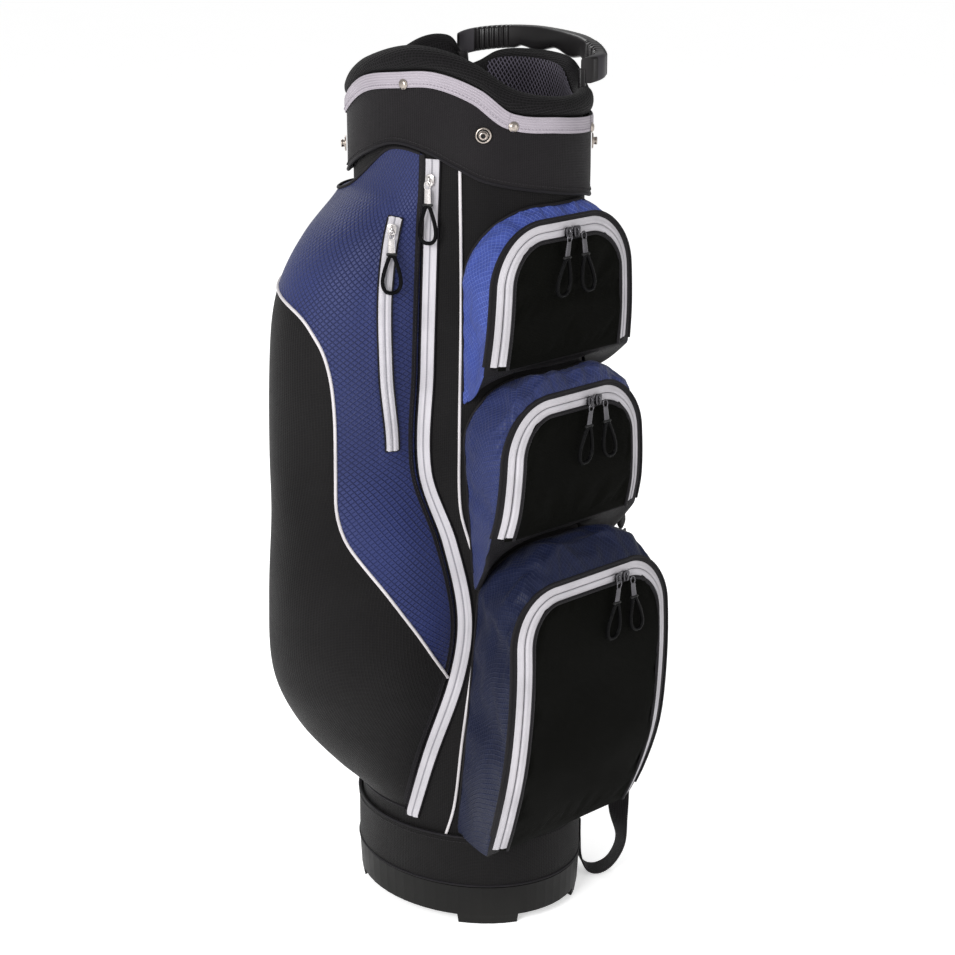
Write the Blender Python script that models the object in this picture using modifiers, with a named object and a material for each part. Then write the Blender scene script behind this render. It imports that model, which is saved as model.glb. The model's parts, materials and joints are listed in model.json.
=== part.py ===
"""Golf cart bag: an oval tube on a moulded base, with a padded rim, a carry handle, two side
pockets, three front pockets whose panels fold down, zips with pullers, and a shoulder strap.

Metres, +Z up. The bag stands on z = 0, its front pockets face -Y, and the carry handle is on
the +X side. Angles are degrees around the tube, from the front, positive towards +X.
"""
import math
from functools import partial

import bmesh
import bpy
from mathutils import Matrix, Vector

# Driving dimensions
TUBE_HALF_X = 0.1030        # tube skin, side to side
TUBE_HALF_Y = 0.1225        # tube skin, front to back
AXIS_Y = 0.0291             # the tube's axis stands this far behind the middle of the whole bag
FABRIC = 0.003              # thickness of padded cover fabric
GAP = 0.0004                # clearance between pieces that touch
STEPS_ROUND = 60            # sections around the tube

BASE_OFFSET = 0.0032        # base wall outside the tube skin
BASE_STEP = 0.042           # top of the visible plastic
BASE_TOP = 0.074            # top of the spigot inside the tube
BASE_WALL = 0.003
BASE_DRAFT = 0.0030         # the foot stands in from the wall above by this much
FOOT_HEIGHT = 0.010
FOOT_WIDTH = 0.014
FRONT_FEET_GAP = 0.080
SIDE_FEET_GAP = 0.144
FLOOR_TOP = 0.016
CUFF_TOP = 0.098

# Heights around the bag, from the back by the left side, the front and the right side
COLLAR_OFFSET = 0.0050      # collar's outer face outside the tube skin
COLLAR_LINE = ((-180, 0.7475), (-150, 0.750), (-134, 0.753), (-104, 0.779), (-85, 0.793), (-68, 0.788),
               (-53, 0.774), (-40, 0.762), (-8, 0.750), (18, 0.742), (44, 0.735), (60, 0.752),
               (80, 0.765), (100, 0.767), (125, 0.762), (150, 0.750), (180, 0.7475))
TRIM_LINE = ((-180, 0.814), (-134, 0.823), (-103, 0.851), (-80, 0.859), (-63, 0.8605), (-45, 0.8475),
             (-30, 0.8255), (-4, 0.8185), (20, 0.814), (46, 0.812), (70, 0.816), (92, 0.820),
             (115, 0.818), (145, 0.813), (180, 0.814))
TRIM_HEIGHT = 0.014
TRIM_THICK = 0.0016
RING_HEIGHT = 0.030         # stiff ring inside the collar
RING_INNER = -0.010
# Top of the padded rim
CREST_LINE = ((-180, 0.845), (-150, 0.839), (-134, 0.843), (-120, 0.856), (-105, 0.869), (-80, 0.883),
              (-62, 0.881), (-46, 0.8695), (-27, 0.8465), (-5, 0.8375), (18, 0.836), (36, 0.838),
              (50, 0.838), (58, 0.847), (66, 0.857), (80, 0.861), (104, 0.861), (116, 0.857),
              (126, 0.846), (132, 0.845), (138, 0.867),
              (144, 0.8725), (154, 0.871), (165, 0.862), (180, 0.845))
PAD_MIDDLE = -0.0025        # middle of the padded rim outside the tube skin
PAD_HALF = 0.0095

DIVIDER_TOP = 0.795
DIVIDER_LOW = 0.020
DIVIDER_THICK = 0.005
CROSS_PANEL_Y = 0.036
SPINE_CLEAR = 0.0125        # from the tube skin to the middle panel's edges
CROSS_CLEAR = 0.0185        # from the tube skin to the cross panels' edges, past the stay rods
ROD_RADIUS = 0.0035
ROD_OFFSET = -0.0145

POCKET_BACK_ANGLE = 150.0   # where a side pocket meets the back of the tube
POCKET_BELOW_COLLAR = 0.0045   # from the collar's lower edge to a side pocket's top edge
POCKET_FALL = (86.0, 132.0)    # between these angles the top edge falls away behind
POCKET_BACK_TOP = 0.738
POCKET_TOP_SHARE = 0.1         # the top edge comes back in to the tube
POCKET_WALL = 0.003
POCKET_LIFT = 0.0012        # a side pocket's edge outside the tube skin
EDGE_ROW = 0.08             # share of a half turn left out at each end of the pocket's rows
ZIP_WIDTH = 0.014
ZIP_THICK = 0.0016
ZIP_TO_POCKET = 4.7         # degrees from the middle of the long zip to the pocket's edge
ZIP_BELOW_COLLAR = 0.005
ZIP_FLOOR = 0.1085
SHORT_ZIP_ANGLE = 80.0
SHORT_ZIP_LIFT = 0.0022
SHORT_ZIP = (0.726, 0.502)  # its top and bottom

# Side pocket: (height, angle of the long zip) and (height, bulge outside the tube)
ZIP_LINE = ((0.776, 65.5), (0.68, 67.2), (0.58, 68.9), (0.48, 70.3), (0.41, 58.0),
            (0.335, 50.6), (0.27, 54.5), (0.18, 69.0), (0.112, 79.0))
BULGE = ((0.790, 0.0012), (0.770, 0.0035), (0.7465, 0.010), (0.735, 0.022), (0.70, 0.057),
         (0.655, 0.084), (0.60, 0.095), (0.45, 0.100), (0.34, 0.112), (0.265, 0.108),
         (0.205, 0.080), (0.15, 0.036), (0.116, 0.0))

# Front pockets: outlines as (half width, low, high, corner) for the panel, for the seam on the
# tube and for the ring between them, which has a depth, and (height, depth of the front face)
FRONT_POCKETS = {
    "top": {
        "front": (0.0885, 0.5875, 0.727, 0.058),
        "taper": 0.11,
        "seam": (0.0815, 0.586, 0.738, 0.058),
        "seam_taper": 0.0,
        "neighbour": (0.0835, 0.422, 0.5765, 0.050),
        "middle": (0.0865, 0.5865, 0.735, 0.060),
        "middle_depth": 0.122,
        "depth": ((0.58, 0.131), (0.63, 0.1365), (0.69, 0.137), (0.73, 0.1335)),
        "slot_centre": 0.002,
    },
    "mid": {
        "front": (0.0895, 0.424, 0.5645, 0.056),
        "taper": 0.13,
        "seam": (0.0835, 0.422, 0.5765, 0.050),
        "seam_taper": -0.10,
        "neighbour": (0.0700, 0.099, 0.4115, 0.056),
        "middle": (0.0895, 0.4225, 0.5805, 0.056),
        "middle_depth": 0.1405,
        "depth": ((0.42, 0.142), (0.46, 0.152), (0.52, 0.154), (0.57, 0.149)),
        "slot_centre": 0.018,
    },
    "cooler": {
        "front": (0.1065, 0.1025, 0.388, 0.058),
        "taper": 0.07,
        "foot": (0.215, 0.105),
        "seam": (0.0700, 0.099, 0.4115, 0.056),
        "seam_taper": 0.22,
        "middle": (0.1005, 0.102, 0.4165, 0.064),
        "middle_depth": 0.157,
        "depth": ((0.10, 0.141), (0.145, 0.159), (0.20, 0.1745), (0.27, 0.182),
                  (0.33, 0.182), (0.39, 0.175)),
        "slot_centre": 0.034,
    },
}
NEIGHBOUR_GAP = 0.0065      # from the pocket below
SIDE_BULGE = 1.02           # the middle ring is wider than halfway between seam and front
SIDE_FORWARD = 0.004        # and nearer the front
SEAM_LIFT = 0.0016          # a front pocket's seam outside the tube skin
PANEL_THICK = 0.005
ZIP_SUNK = 0.0012           # a front zip's middle, behind the front face
ZIP_FOOT = 0.0090           # the zip's lower ends, above the pocket's
FLAP_FLOOR = 0.0045         # the panel's lower edge, above the pocket's
SLIDER_SPACING = 0.011      # each slider's distance from the middle of a closed zip
SLIDER_SIZE = (0.009, 0.0055, 0.011)
SLIDER_DROP = 0.002         # a front slider's middle, below the panel's top edge
SIDE_SLIDER_DROP = 0.019    # a side slider's middle, below its zip's top
SIDE_SLIDER_CLEAR = 0.0008
PULL_SIDE = 0.0035          # a front pull's pivot, to the side of its slider
PULL_LENGTH = 0.058
PULL_WIDTH = 0.020
PULL_CORD = 0.0016
PULL_NECK = 0.0022          # half the gap inside a pull's narrow end

HANDLE_FROM = 40.0
HANDLE_TO = 136.5
HANDLE_OFFSET = 0.0160      # middle of the grip outside the tube skin
HANDLE_HEIGHT = 0.024
HANDLE_THICK = 0.012
HANDLE_LINE = ((40, 0.867), (50, 0.868), (60, 0.873), (70, 0.877), (80, 0.879), (90, 0.8805),
               (100, 0.8815), (110, 0.881), (120, 0.8795), (130, 0.877), (136.5, 0.8755))
POST_SIZE = (0.012, 0.007, 0.052)
POST_OFFSET = -0.0048
RIB_HEIGHT = 0.0007
RIBS_FROM = 24.0            # degrees from the middle of the grip
RIBS_TO = 40.0
HANDLE_ARCH = 0.003         # the grip is this much slimmer in the middle
HANDLE_CORNER = 0.003
POST_TURN = 2.5             # degrees from the grip's end to the middle of its post
POST_BELOW_TRIM = 0.011     # how far a post reaches down into the ring
SOCKET_CLEAR = 0.0014
MOUTH_SIZE = (0.0164, 0.030, 0.07)      # the slot in the padded rim around a post
MOUTH_RISE = 0.036
MOUTH_OFFSET = 0.006
WAVE_HEIGHT = 0.0022        # finger rests under the grip
WAVES_TO = 22.0

STRAP_WIDTH = 0.024
STRAP_THICK = 0.0022
PAD_WIDTH = 0.052
PAD_THICK = 0.010

# Shoulder strap: (angle, height, lift off the bag or pocket, twist)
STRAP_RING_PLACE = (92, 0.776, 0.0095)
STRAP_RING_SIZE = (0.016, 0.010, 0.0018)

UPPER_STRAP = ((92, 0.764, 0.0105, 0), (92, 0.742, 0.007, 0), (91, 0.715, 0.0065, 0),
               (90, 0.68, 0.006, 0), (89, 0.645, 0.0065, 0), (88, 0.632, 0.0065, 0))
STRAP_PAD = ((88, 0.6275, 0.0075, 0), (86, 0.56, 0.0075, 0), (83, 0.49, 0.0075, 0),
             (80, 0.42, 0.0075, 0), (76, 0.36, 0.0085, 0))
LOWER_STRAP = ((75.7, 0.356, 0.0095, 0), (72, 0.31, 0.012, 0), (67, 0.265, 0.015, 12),
               (62, 0.22, 0.046, 35), (57, 0.175, 0.046, 62), (53, 0.135, 0.048, 88),
               (52, 0.10, 0.0475, 110), (51, 0.065, 0.048, 140), (50, 0.035, 0.050, 170),
               (49.5, 0.0135, 0.040, 180), (49.5, 0.0042, 0.0255, 180), (51, 0.0065, 0.013, 180),
               (53, 0.021, 0.0062, 180), (54.5, 0.042, 0.0052, 180), (55, 0.062, 0.0052, 180))

RIVET_ANGLES = (-28.0, 28.0, -78.0, 78.0, -152.0, 152.0)
HOOD_STUDS = ((-41.5, 0.8055), (38.0, 0.7865), (-136.0, 0.7780), (136.0, 0.7780))   # angle, height

COLOURS = {                 # base colour, roughness, metallic
    "black ripstop": ((0.018, 0.016, 0.017), 0.75, 0.0),
    "blue ripstop": ((0.026, 0.038, 0.16), 0.55, 0.0),
    "air mesh": ((0.012, 0.012, 0.014), 0.85, 0.0),
    "white webbing": ((0.60, 0.57, 0.62), 0.7, 0.0),
    "zip coil": ((0.62, 0.60, 0.66), 0.45, 0.0),
    "base plastic": ((0.032, 0.029, 0.027), 0.5, 0.0),
    "handle plastic": ((0.012, 0.011, 0.012), 0.3, 0.0),
    "lining": ((0.05, 0.045, 0.055), 0.8, 0.0),
    "steel": ((0.45, 0.42, 0.40), 0.3, 1.0),
    "gunmetal": ((0.16, 0.16, 0.17), 0.3, 1.0),
    "puller cord": ((0.01, 0.01, 0.011), 0.4, 0.0),
    "strap webbing": ((0.014, 0.013, 0.014), 0.8, 0.0),
}

PIVOTS = {}


def clear_scene():
    for item in list(bpy.data.objects):
        bpy.data.objects.remove(item, do_unlink=True)


def make_collection(name):
    collection = bpy.data.collections.new(name)
    bpy.context.scene.collection.children.link(collection)
    return collection


def make_material(node, kind):
    colour, roughness, metallic = COLOURS[kind]
    material = bpy.data.materials.new(node + "_" + kind.replace(" ", "_"))
    material.use_nodes = True
    shader = material.node_tree.nodes["Principled BSDF"]
    shader.inputs["Base Color"].default_value = (*colour, 1.0)
    shader.inputs["Roughness"].default_value = roughness
    shader.inputs["Metallic"].default_value = metallic
    material.diffuse_color = (*colour, 1.0)
    return material


# Places on the bag

def outward(angle):
    """Horizontal direction that leaves the oval tube at right angles."""
    turn = math.radians(angle)
    return Vector((TUBE_HALF_Y * math.sin(turn), -TUBE_HALF_X * math.cos(turn), 0)).normalized()


def on_bag(angle, height, offset=0.0):
    turn = math.radians(angle)
    skin = Vector((TUBE_HALF_X * math.sin(turn), -TUBE_HALF_Y * math.cos(turn), height))
    return skin + offset * outward(angle)


def smooth_table(table, where):
    """Value of a smooth curve through (place, value) pairs, flat beyond its ends."""
    points = sorted(table)
    if where <= points[0][0]:
        return points[0][1]
    if where >= points[-1][0]:
        return points[-1][1]
    index = next(i for i in range(len(points) - 1) if where <= points[i + 1][0])
    (x0, y0), (x1, y1) = points[index], points[index + 1]
    before = points[max(index - 1, 0)]
    after = points[min(index + 2, len(points) - 1)]
    start_slope = (y1 - before[1]) / (x1 - before[0])
    end_slope = (after[1] - y0) / (after[0] - x0)
    t, span = (where - x0) / (x1 - x0), x1 - x0
    return ((2 * t ** 3 - 3 * t ** 2 + 1) * y0 + (t ** 3 - 2 * t ** 2 + t) * span * start_slope
            + (3 * t ** 2 - 2 * t ** 3) * y1 + (t ** 3 - t ** 2) * span * end_slope)


def around(angle):
    """The same direction as an angle from -180 to 180."""
    return (angle + 180) % 360 - 180


def collar_low(angle):
    return smooth_table(COLLAR_LINE, around(angle))


def trim_top(angle):
    return smooth_table(TRIM_LINE, around(angle))


def trim_low(angle):
    return trim_top(angle) - TRIM_HEIGHT


def crest_height(angle):
    return smooth_table(CREST_LINE, around(angle))


def zip_angle(height):
    return smooth_table(ZIP_LINE, height)


def zip_top(side):
    """The long zip starts just under the collar."""
    return collar_low(side * ZIP_LINE[0][1]) - ZIP_BELOW_COLLAR


def pocket_top(side, angle):
    """Height of a side pocket's top edge: close under the collar in front, lower behind."""
    under = collar_low(side * angle) - POCKET_BELOW_COLLAR
    fall = min(max((angle - POCKET_FALL[0]) / (POCKET_FALL[1] - POCKET_FALL[0]), 0.0), 1.0)
    return under + (POCKET_BACK_TOP - under) * fall * fall * (3 - 2 * fall)


def pocket_offset(angle, height):
    """How far a side pocket's face stands outside the tube skin; angle is always positive."""
    first = zip_angle(height) + ZIP_TO_POCKET
    along = (angle - first) / (POCKET_BACK_ANGLE - first)
    if not 0 < along < 1 or not BULGE[-1][0] < height <= BULGE[0][0]:
        return 0.0
    return smooth_table(BULGE, height) * math.sin(math.pi * along) ** 0.85


# Mesh builders

class Builder:
    def __init__(self, collection, cutters, root):
        self.collection = collection
        self.cutters = cutters
        self.root = root

    def link(self, name, mesh, kind, pivot=None, parent=None):
        """Link a mesh given in bag coordinates, with its origin moved to the pivot."""
        pivot = Vector(pivot) if pivot is not None else Vector((0, 0, 0))
        mesh.transform(Matrix.Translation(-pivot))
        item = bpy.data.objects.new(name, mesh)
        mesh.materials.append(make_material(name, kind))
        mesh.shade_smooth()
        mesh.set_sharp_from_angle(angle=math.radians(35))
        self.collection.objects.link(item)
        item.parent = parent or self.root
        item.location = pivot - (PIVOTS[parent.name] if parent else Vector((0, 0, 0)))
        PIVOTS[name] = pivot
        return item

    def loft(self, name, sections, kind, wrap=False, **place):
        """A solid through closed sections, capped at both ends or joined end to end."""
        shape = bmesh.new()
        rows = [[shape.verts.new(point) for point in section] for section in sections]
        pairs = list(zip(rows, rows[1:]))
        if wrap:
            pairs.append((rows[-1], rows[0]))
        else:
            shape.faces.new(rows[0])
            shape.faces.new(rows[-1])
        for low, high in pairs:
            for i in range(len(low)):
                j = (i + 1) % len(low)
                shape.faces.new((low[i], low[j], high[j], high[i]))
        return self.finish(name, shape, kind, **place)

    def shell(self, name, outer, inner, kind, **place):
        """A bowl between an outer and an inner grid of points, joined around their edges."""
        shape = bmesh.new()
        grids = [[[shape.verts.new(p) for p in row] for row in grid] for grid in (outer, inner)]
        last_row, last = len(outer) - 1, len(outer[0]) - 1
        for grid in grids:
            for low, high in zip(grid, grid[1:]):
                for i in range(last):
                    shape.faces.new((low[i], low[i + 1], high[i + 1], high[i]))
        edge = [(0, i) for i in range(last)] + [(j, last) for j in range(last_row)]
        edge += [(last_row, i) for i in range(last, 0, -1)] + [(j, 0) for j in range(last_row, 0, -1)]
        for (j0, i0), (j1, i1) in zip(edge, edge[1:] + edge[:1]):
            a, b = grids
            shape.faces.new((a[j0][i0], a[j1][i1], b[j1][i1], b[j0][i0]))
        return self.finish(name, shape, kind, **place)

    def finish(self, name, shape, kind, **place):
        bmesh.ops.recalc_face_normals(shape, faces=shape.faces)
        if shape.calc_volume(signed=True) < 0:
            bmesh.ops.reverse_faces(shape, faces=shape.faces)
        mesh = bpy.data.meshes.new(name)
        shape.to_mesh(mesh)
        shape.free()
        return self.link(name, mesh, kind, **place)

    def band(self, name, inner, outer, low, high, kind):
        """A hoop around the tube; low and high give its edges' heights at each angle."""
        sections = []
        for step in range(STEPS_ROUND):
            angle = 360 * step / STEPS_ROUND
            sections.append([on_bag(angle, low(angle), inner), on_bag(angle, low(angle), outer),
                             on_bag(angle, high(angle), outer), on_bag(angle, high(angle), inner)])
        return self.loft(name, sections, kind, wrap=True)

    def turned(self, name, profile, kind, steps, collection_place):
        """A profile of (radius, height) from top to bottom, turned around +Z, then placed."""
        mesh = bpy.data.meshes.new(name)
        points = [(radius, 0.0, height) for radius, height in profile]
        mesh.from_pydata(points, [(i, i + 1) for i in range(len(points) - 1)], [])
        item = self.link(name, mesh, kind)
        screw = item.modifiers.new("turn", "SCREW")
        screw.steps = steps
        screw.render_steps = steps
        screw.use_merge_vertices = True
        screw.merge_threshold = 0.00002
        screw.use_smooth_shade = True
        place, direction = collection_place
        item.location = place
        item.rotation_mode = "QUATERNION"
        item.rotation_quaternion = Vector(direction).to_track_quat("Z", "Y")
        return item

    def ribbon(self, name, path, normals, width, thickness, kind, **place):
        """A flat strip that follows a path, lying square to the normals."""
        sections = []
        for i, point in enumerate(path):
            ahead = (path[min(i + 1, len(path) - 1)] - path[max(i - 1, 0)]).normalized()
            side = ahead.cross(normals[i]).normalized() * width / 2
            up = normals[i].normalized() * thickness / 2
            sections.append([point - side - up, point + side - up,
                             point + side + up, point - side + up])
        return self.loft(name, sections, kind, **place)

    def cord_loop(self, name, points, radius, kind, **place):
        """A closed loop of round cord, made from a curve and stored as a mesh."""
        curve = bpy.data.curves.new(name, "CURVE")
        curve.dimensions = "3D"
        curve.bevel_depth = radius
        curve.bevel_resolution = 1
        spline = curve.splines.new("POLY")
        spline.points.add(len(points) - 1)
        for target, point in zip(spline.points, points):
            target.co = (*point, 1.0)
        spline.use_cyclic_u = True
        wire = bpy.data.objects.new(name + "_wire", curve)
        self.cutters.objects.link(wire)
        mesh = bpy.data.meshes.new_from_object(wire.evaluated_get(bpy.context.evaluated_depsgraph_get()))
        mesh.materials.clear()
        bpy.data.objects.remove(wire)
        return self.link(name, mesh, kind, **place)

    def block(self, name, size, place, direction, kind=None, **link):
        """A box: size across, out and up; its out side faces the direction."""
        shape = bmesh.new()
        bmesh.ops.create_cube(shape, size=1.0)
        turn = Vector((0, -1, 0)).rotation_difference(Vector(direction))
        frame = Matrix.Translation(place) @ turn.to_matrix().to_4x4() @ Matrix.Diagonal((*size, 1))
        bmesh.ops.transform(shape, matrix=frame, verts=shape.verts)
        if kind:
            return self.finish(name, shape, kind, **link)
        mesh = bpy.data.meshes.new(name)
        shape.to_mesh(mesh)
        shape.free()
        cutter = bpy.data.objects.new(name, mesh)
        self.cutters.objects.link(cutter)
        cutter.parent = self.root
        cutter.hide_render = True
        cutter.display_type = "WIRE"
        return cutter

    def boolean(self, item, cutter, operation):
        modifier = item.modifiers.new(cutter.name, "BOOLEAN")
        modifier.operation = operation
        modifier.solver = "EXACT"
        modifier.object = cutter


# Base and tube

def make_base(build):
    outer = TUBE_HALF_X + BASE_OFFSET
    spigot = TUBE_HALF_X - FABRIC - GAP
    wall = spigot - BASE_WALL
    foot = outer - BASE_DRAFT - FOOT_WIDTH
    profile = [(0, FLOOR_TOP), (wall, FLOOR_TOP), (wall, BASE_TOP), (spigot, BASE_TOP),
               (spigot, BASE_STEP), (outer, BASE_STEP), (outer - BASE_DRAFT / 2, FOOT_HEIGHT),
               (outer - BASE_DRAFT, 0), (foot, 0), (foot, FOOT_HEIGHT),
               (0, FOOT_HEIGHT)]
    base = build.turned("base_moulding", profile, "base plastic", 60, ((0, 0, 0), (0, 0, 1)))
    base.scale = (1, TUBE_HALF_Y / TUBE_HALF_X, 1)
    through = 4 * TUBE_HALF_Y
    tall = 2 * (FOOT_HEIGHT - GAP)
    for name, size in (("gap_between_front_feet", (FRONT_FEET_GAP, through, tall)),
                       ("gap_between_side_feet", (through, SIDE_FEET_GAP, tall))):
        build.boolean(base, build.block(name, size, (0, 0, 0), (0, -1, 0)), "DIFFERENCE")
    build.band("base_cuff", GAP, FABRIC + GAP, lambda a: BASE_STEP + GAP, lambda a: CUFF_TOP,
               "black ripstop")


def make_tube(build):
    build.band("tube_cover", -FABRIC, 0, lambda a: BASE_STEP + GAP,
               trim_low, "black ripstop")
    build.band("tube_liner", -2 * FABRIC, -FABRIC - GAP, lambda a: BASE_TOP + GAP,
               lambda a: trim_top(a) - RING_HEIGHT - GAP, "lining")
    foot = FLOOR_TOP + GAP
    rod = [(0, DIVIDER_TOP), (ROD_RADIUS, DIVIDER_TOP), (ROD_RADIUS, foot), (0, foot)]
    for side, name in ((-90, "stay_rod_left"), (90, "stay_rod_right")):
        build.turned(name, rod, "steel", 12, (on_bag(side, 0, ROD_OFFSET), (0, 0, 1)))


def flat_panel(build, name, outline, across, kind):
    """A panel cut from an outline of (along, height), with a turn about Z."""
    curve = bpy.data.curves.new(name, "CURVE")
    curve.dimensions = "2D"
    curve.fill_mode = "BOTH"
    curve.extrude = DIVIDER_THICK / 2
    spline = curve.splines.new("POLY")
    spline.points.add(len(outline) - 1)
    for target, (along, height) in zip(spline.points, outline):
        target.co = (along, height, 0, 1)
    spline.use_cyclic_u = True
    panel = bpy.data.objects.new(name, curve)
    curve.materials.append(make_material(name, kind))
    build.collection.objects.link(panel)
    panel.parent = build.root
    panel.rotation_euler = (math.radians(90), 0, math.radians(90 if across == 0 else 0))
    panel.location = (0, across, 0)
    return panel


def make_dividers(build):
    slot = DIVIDER_THICK / 2 + GAP
    middle = (DIVIDER_TOP + DIVIDER_LOW) / 2
    half = TUBE_HALF_Y - SPINE_CLEAR
    spine = [(-half, DIVIDER_LOW), (half, DIVIDER_LOW), (half, DIVIDER_TOP)]
    for y in (CROSS_PANEL_Y, -CROSS_PANEL_Y):
        spine += [(y + slot, DIVIDER_TOP), (y + slot, middle), (y - slot, middle), (y - slot, DIVIDER_TOP)]
    spine.append((-half, DIVIDER_TOP))
    flat_panel(build, "divider_spine", spine, 0, "lining")
    half = TUBE_HALF_X - CROSS_CLEAR
    top = middle + GAP
    cross = [(-half, DIVIDER_LOW), (-slot, DIVIDER_LOW), (-slot, top), (slot, top),
             (slot, DIVIDER_LOW), (half, DIVIDER_LOW), (half, DIVIDER_TOP), (-half, DIVIDER_TOP)]
    flat_panel(build, "divider_front", cross, -CROSS_PANEL_Y, "lining")
    flat_panel(build, "divider_back", cross, CROSS_PANEL_Y, "lining")


# Rim

def make_rim(build):
    collar_inner = COLLAR_OFFSET - FABRIC
    build.band("collar", collar_inner, COLLAR_OFFSET, collar_low, trim_top, "black ripstop")
    ring = build.band("top_ring", RING_INNER, -FABRIC - GAP, lambda a: trim_top(a) - RING_HEIGHT,
                      trim_top, "handle plastic")
    build.band("trim_band", COLLAR_OFFSET + GAP, COLLAR_OFFSET + GAP + TRIM_THICK, trim_low, trim_top,
               "white webbing")
    sections = []
    corners = 10
    for step in range(STEPS_ROUND):
        angle = 360 * step / STEPS_ROUND
        low = trim_top(angle) + GAP
        high = crest_height(angle)
        section = []
        for corner in range(corners):
            turn = 2 * math.pi * corner / corners
            section.append(on_bag(angle, (low + high) / 2 + (high - low) / 2 * math.sin(turn),
                                  PAD_MIDDLE + PAD_HALF * math.cos(turn)))
        sections.append(section)
    pad = build.loft("rim_pad", sections, "air mesh", wrap=True)
    return ring, pad


def make_handle(build, ring, pad):
    steps = 50
    centre = (HANDLE_FROM + HANDLE_TO) / 2
    reach = (HANDLE_TO - HANDLE_FROM) / 2
    sections = []
    for step in range(steps + 1):
        angle = HANDLE_FROM + (HANDLE_TO - HANDLE_FROM) * step / steps
        aside = abs(angle - centre)
        ends = (aside / reach) ** 12
        offset = HANDLE_OFFSET * (1 - ends)
        top = smooth_table(HANDLE_LINE, angle) - HANDLE_CORNER * ends
        rib = RIB_HEIGHT if RIBS_FROM < aside < RIBS_TO and step % 2 else 0.0
        wave = WAVE_HEIGHT * math.cos(math.radians(angle - centre) * 18) if aside < WAVES_TO else 0.0
        low = top - HANDLE_HEIGHT + HANDLE_ARCH * (1 - aside / reach) + wave
        half = HANDLE_THICK / 2
        corner = HANDLE_CORNER
        section = [on_bag(angle, low, offset - half + corner), on_bag(angle, low, offset + half - corner),
                   on_bag(angle, low + corner, offset + half + rib),
                   on_bag(angle, top - corner, offset + half + rib),
                   on_bag(angle, top, offset + half - corner), on_bag(angle, top, offset - half + corner),
                   on_bag(angle, top - corner, offset - half), on_bag(angle, low + corner, offset - half)]
        sections.append(section)
    handle = build.loft("carry_handle", sections, "handle plastic")
    for name, angle in (("front", HANDLE_FROM + POST_TURN), ("back", HANDLE_TO - POST_TURN)):
        middle = trim_top(angle) - POST_BELOW_TRIM + POST_SIZE[2] / 2
        place = on_bag(angle, middle, POST_OFFSET)
        post = build.block("handle_post_" + name, POST_SIZE, place, outward(angle))
        build.boolean(handle, post, "UNION")
        room = [size + SOCKET_CLEAR for size in POST_SIZE]
        socket = build.block("handle_socket_" + name, room, place, outward(angle))
        build.boolean(ring, socket, "DIFFERENCE")
        centre_of_mouth = on_bag(angle, trim_top(angle) + MOUTH_RISE, MOUTH_OFFSET)
        mouth = build.block("handle_mouth_" + name, MOUTH_SIZE, centre_of_mouth, outward(angle))
        build.boolean(pad, mouth, "DIFFERENCE")


def make_hardware(build):
    dome = [(0, 0.0022), (0.0022, 0.0019), (0.0038, 0.0010), (0.0045, 0), (0, 0)]
    for number, angle in enumerate(RIVET_ANGLES, 1):
        place = on_bag(angle, trim_low(angle) + 0.003, COLLAR_OFFSET + 2 * GAP + TRIM_THICK)
        build.turned("trim_rivet_%d" % number, dome, "steel", 12, (place, outward(angle)))
    stud = [(0, 0.0022), (0.0016, 0.0022), (0.0016, 0.0052), (0.0034, 0.0052), (0.0038, 0.0040),
            (0.0032, 0.0018), (0.0070, 0.0014), (0.0074, 0.0), (0, 0)]
    for number, (angle, height) in enumerate(HOOD_STUDS, 1):
        place = on_bag(angle, height, COLLAR_OFFSET + GAP)
        build.turned("hood_stud_%d" % number, stud, "steel", 14, (place, outward(angle)))


# Side pockets

def pocket_grid(side, inset):
    """Rows of points on a side pocket's face; an inset gives the inside of its wall."""
    low = BULGE[-1][0]
    rows, columns = 20, 13
    margin = 1.3 * inset
    start = 0.5 - 0.5 * math.cos(math.pi * EDGE_ROW)
    grid = []
    for row in range(rows + 1):
        share = EDGE_ROW + (1 - 2 * EDGE_ROW) * row / rows
        along = (0.5 - 0.5 * math.cos(math.pi * share) - start) / (1 - 2 * start)
        line = []
        for column in range(columns + 1):
            share = column / columns
            spread = 0.35 * share + 0.65 * (1 - math.cos(math.pi * share)) / 2
            first = zip_angle(BULGE[0][0]) + ZIP_TO_POCKET
            top = pocket_top(side, first + (POCKET_BACK_ANGLE - first) * spread)
            height = low + margin + (top - low - 2 * margin) * along
            first = zip_angle(height) + ZIP_TO_POCKET
            angle = first + (POCKET_BACK_ANGLE - first) * spread
            offset = pocket_offset(angle, height) * (POCKET_TOP_SHARE if row == rows else 1)
            if inset:
                shrink = math.degrees(margin / TUBE_HALF_Y)
                angle = first + shrink + (POCKET_BACK_ANGLE - first - 2 * shrink) * spread
                offset = max(offset - inset, 0.0)
            line.append(on_bag(side * angle, height, POCKET_LIFT + offset))
        grid.append(line)
    return grid


def pocket_face(side, angle, height, lift):
    """A point off a side pocket's face, and the direction square to the face there."""
    step = 0.5
    here = on_bag(side * angle, height, POCKET_LIFT + pocket_offset(angle, height))
    beside = on_bag(side * (angle + step), height, POCKET_LIFT + pocket_offset(angle + step, height))
    above = on_bag(side * angle, height + 0.004, POCKET_LIFT + pocket_offset(angle, height + 0.004))
    normal = ((beside - here).cross(above - here) * side).normalized()
    return here + lift * normal, normal


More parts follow.
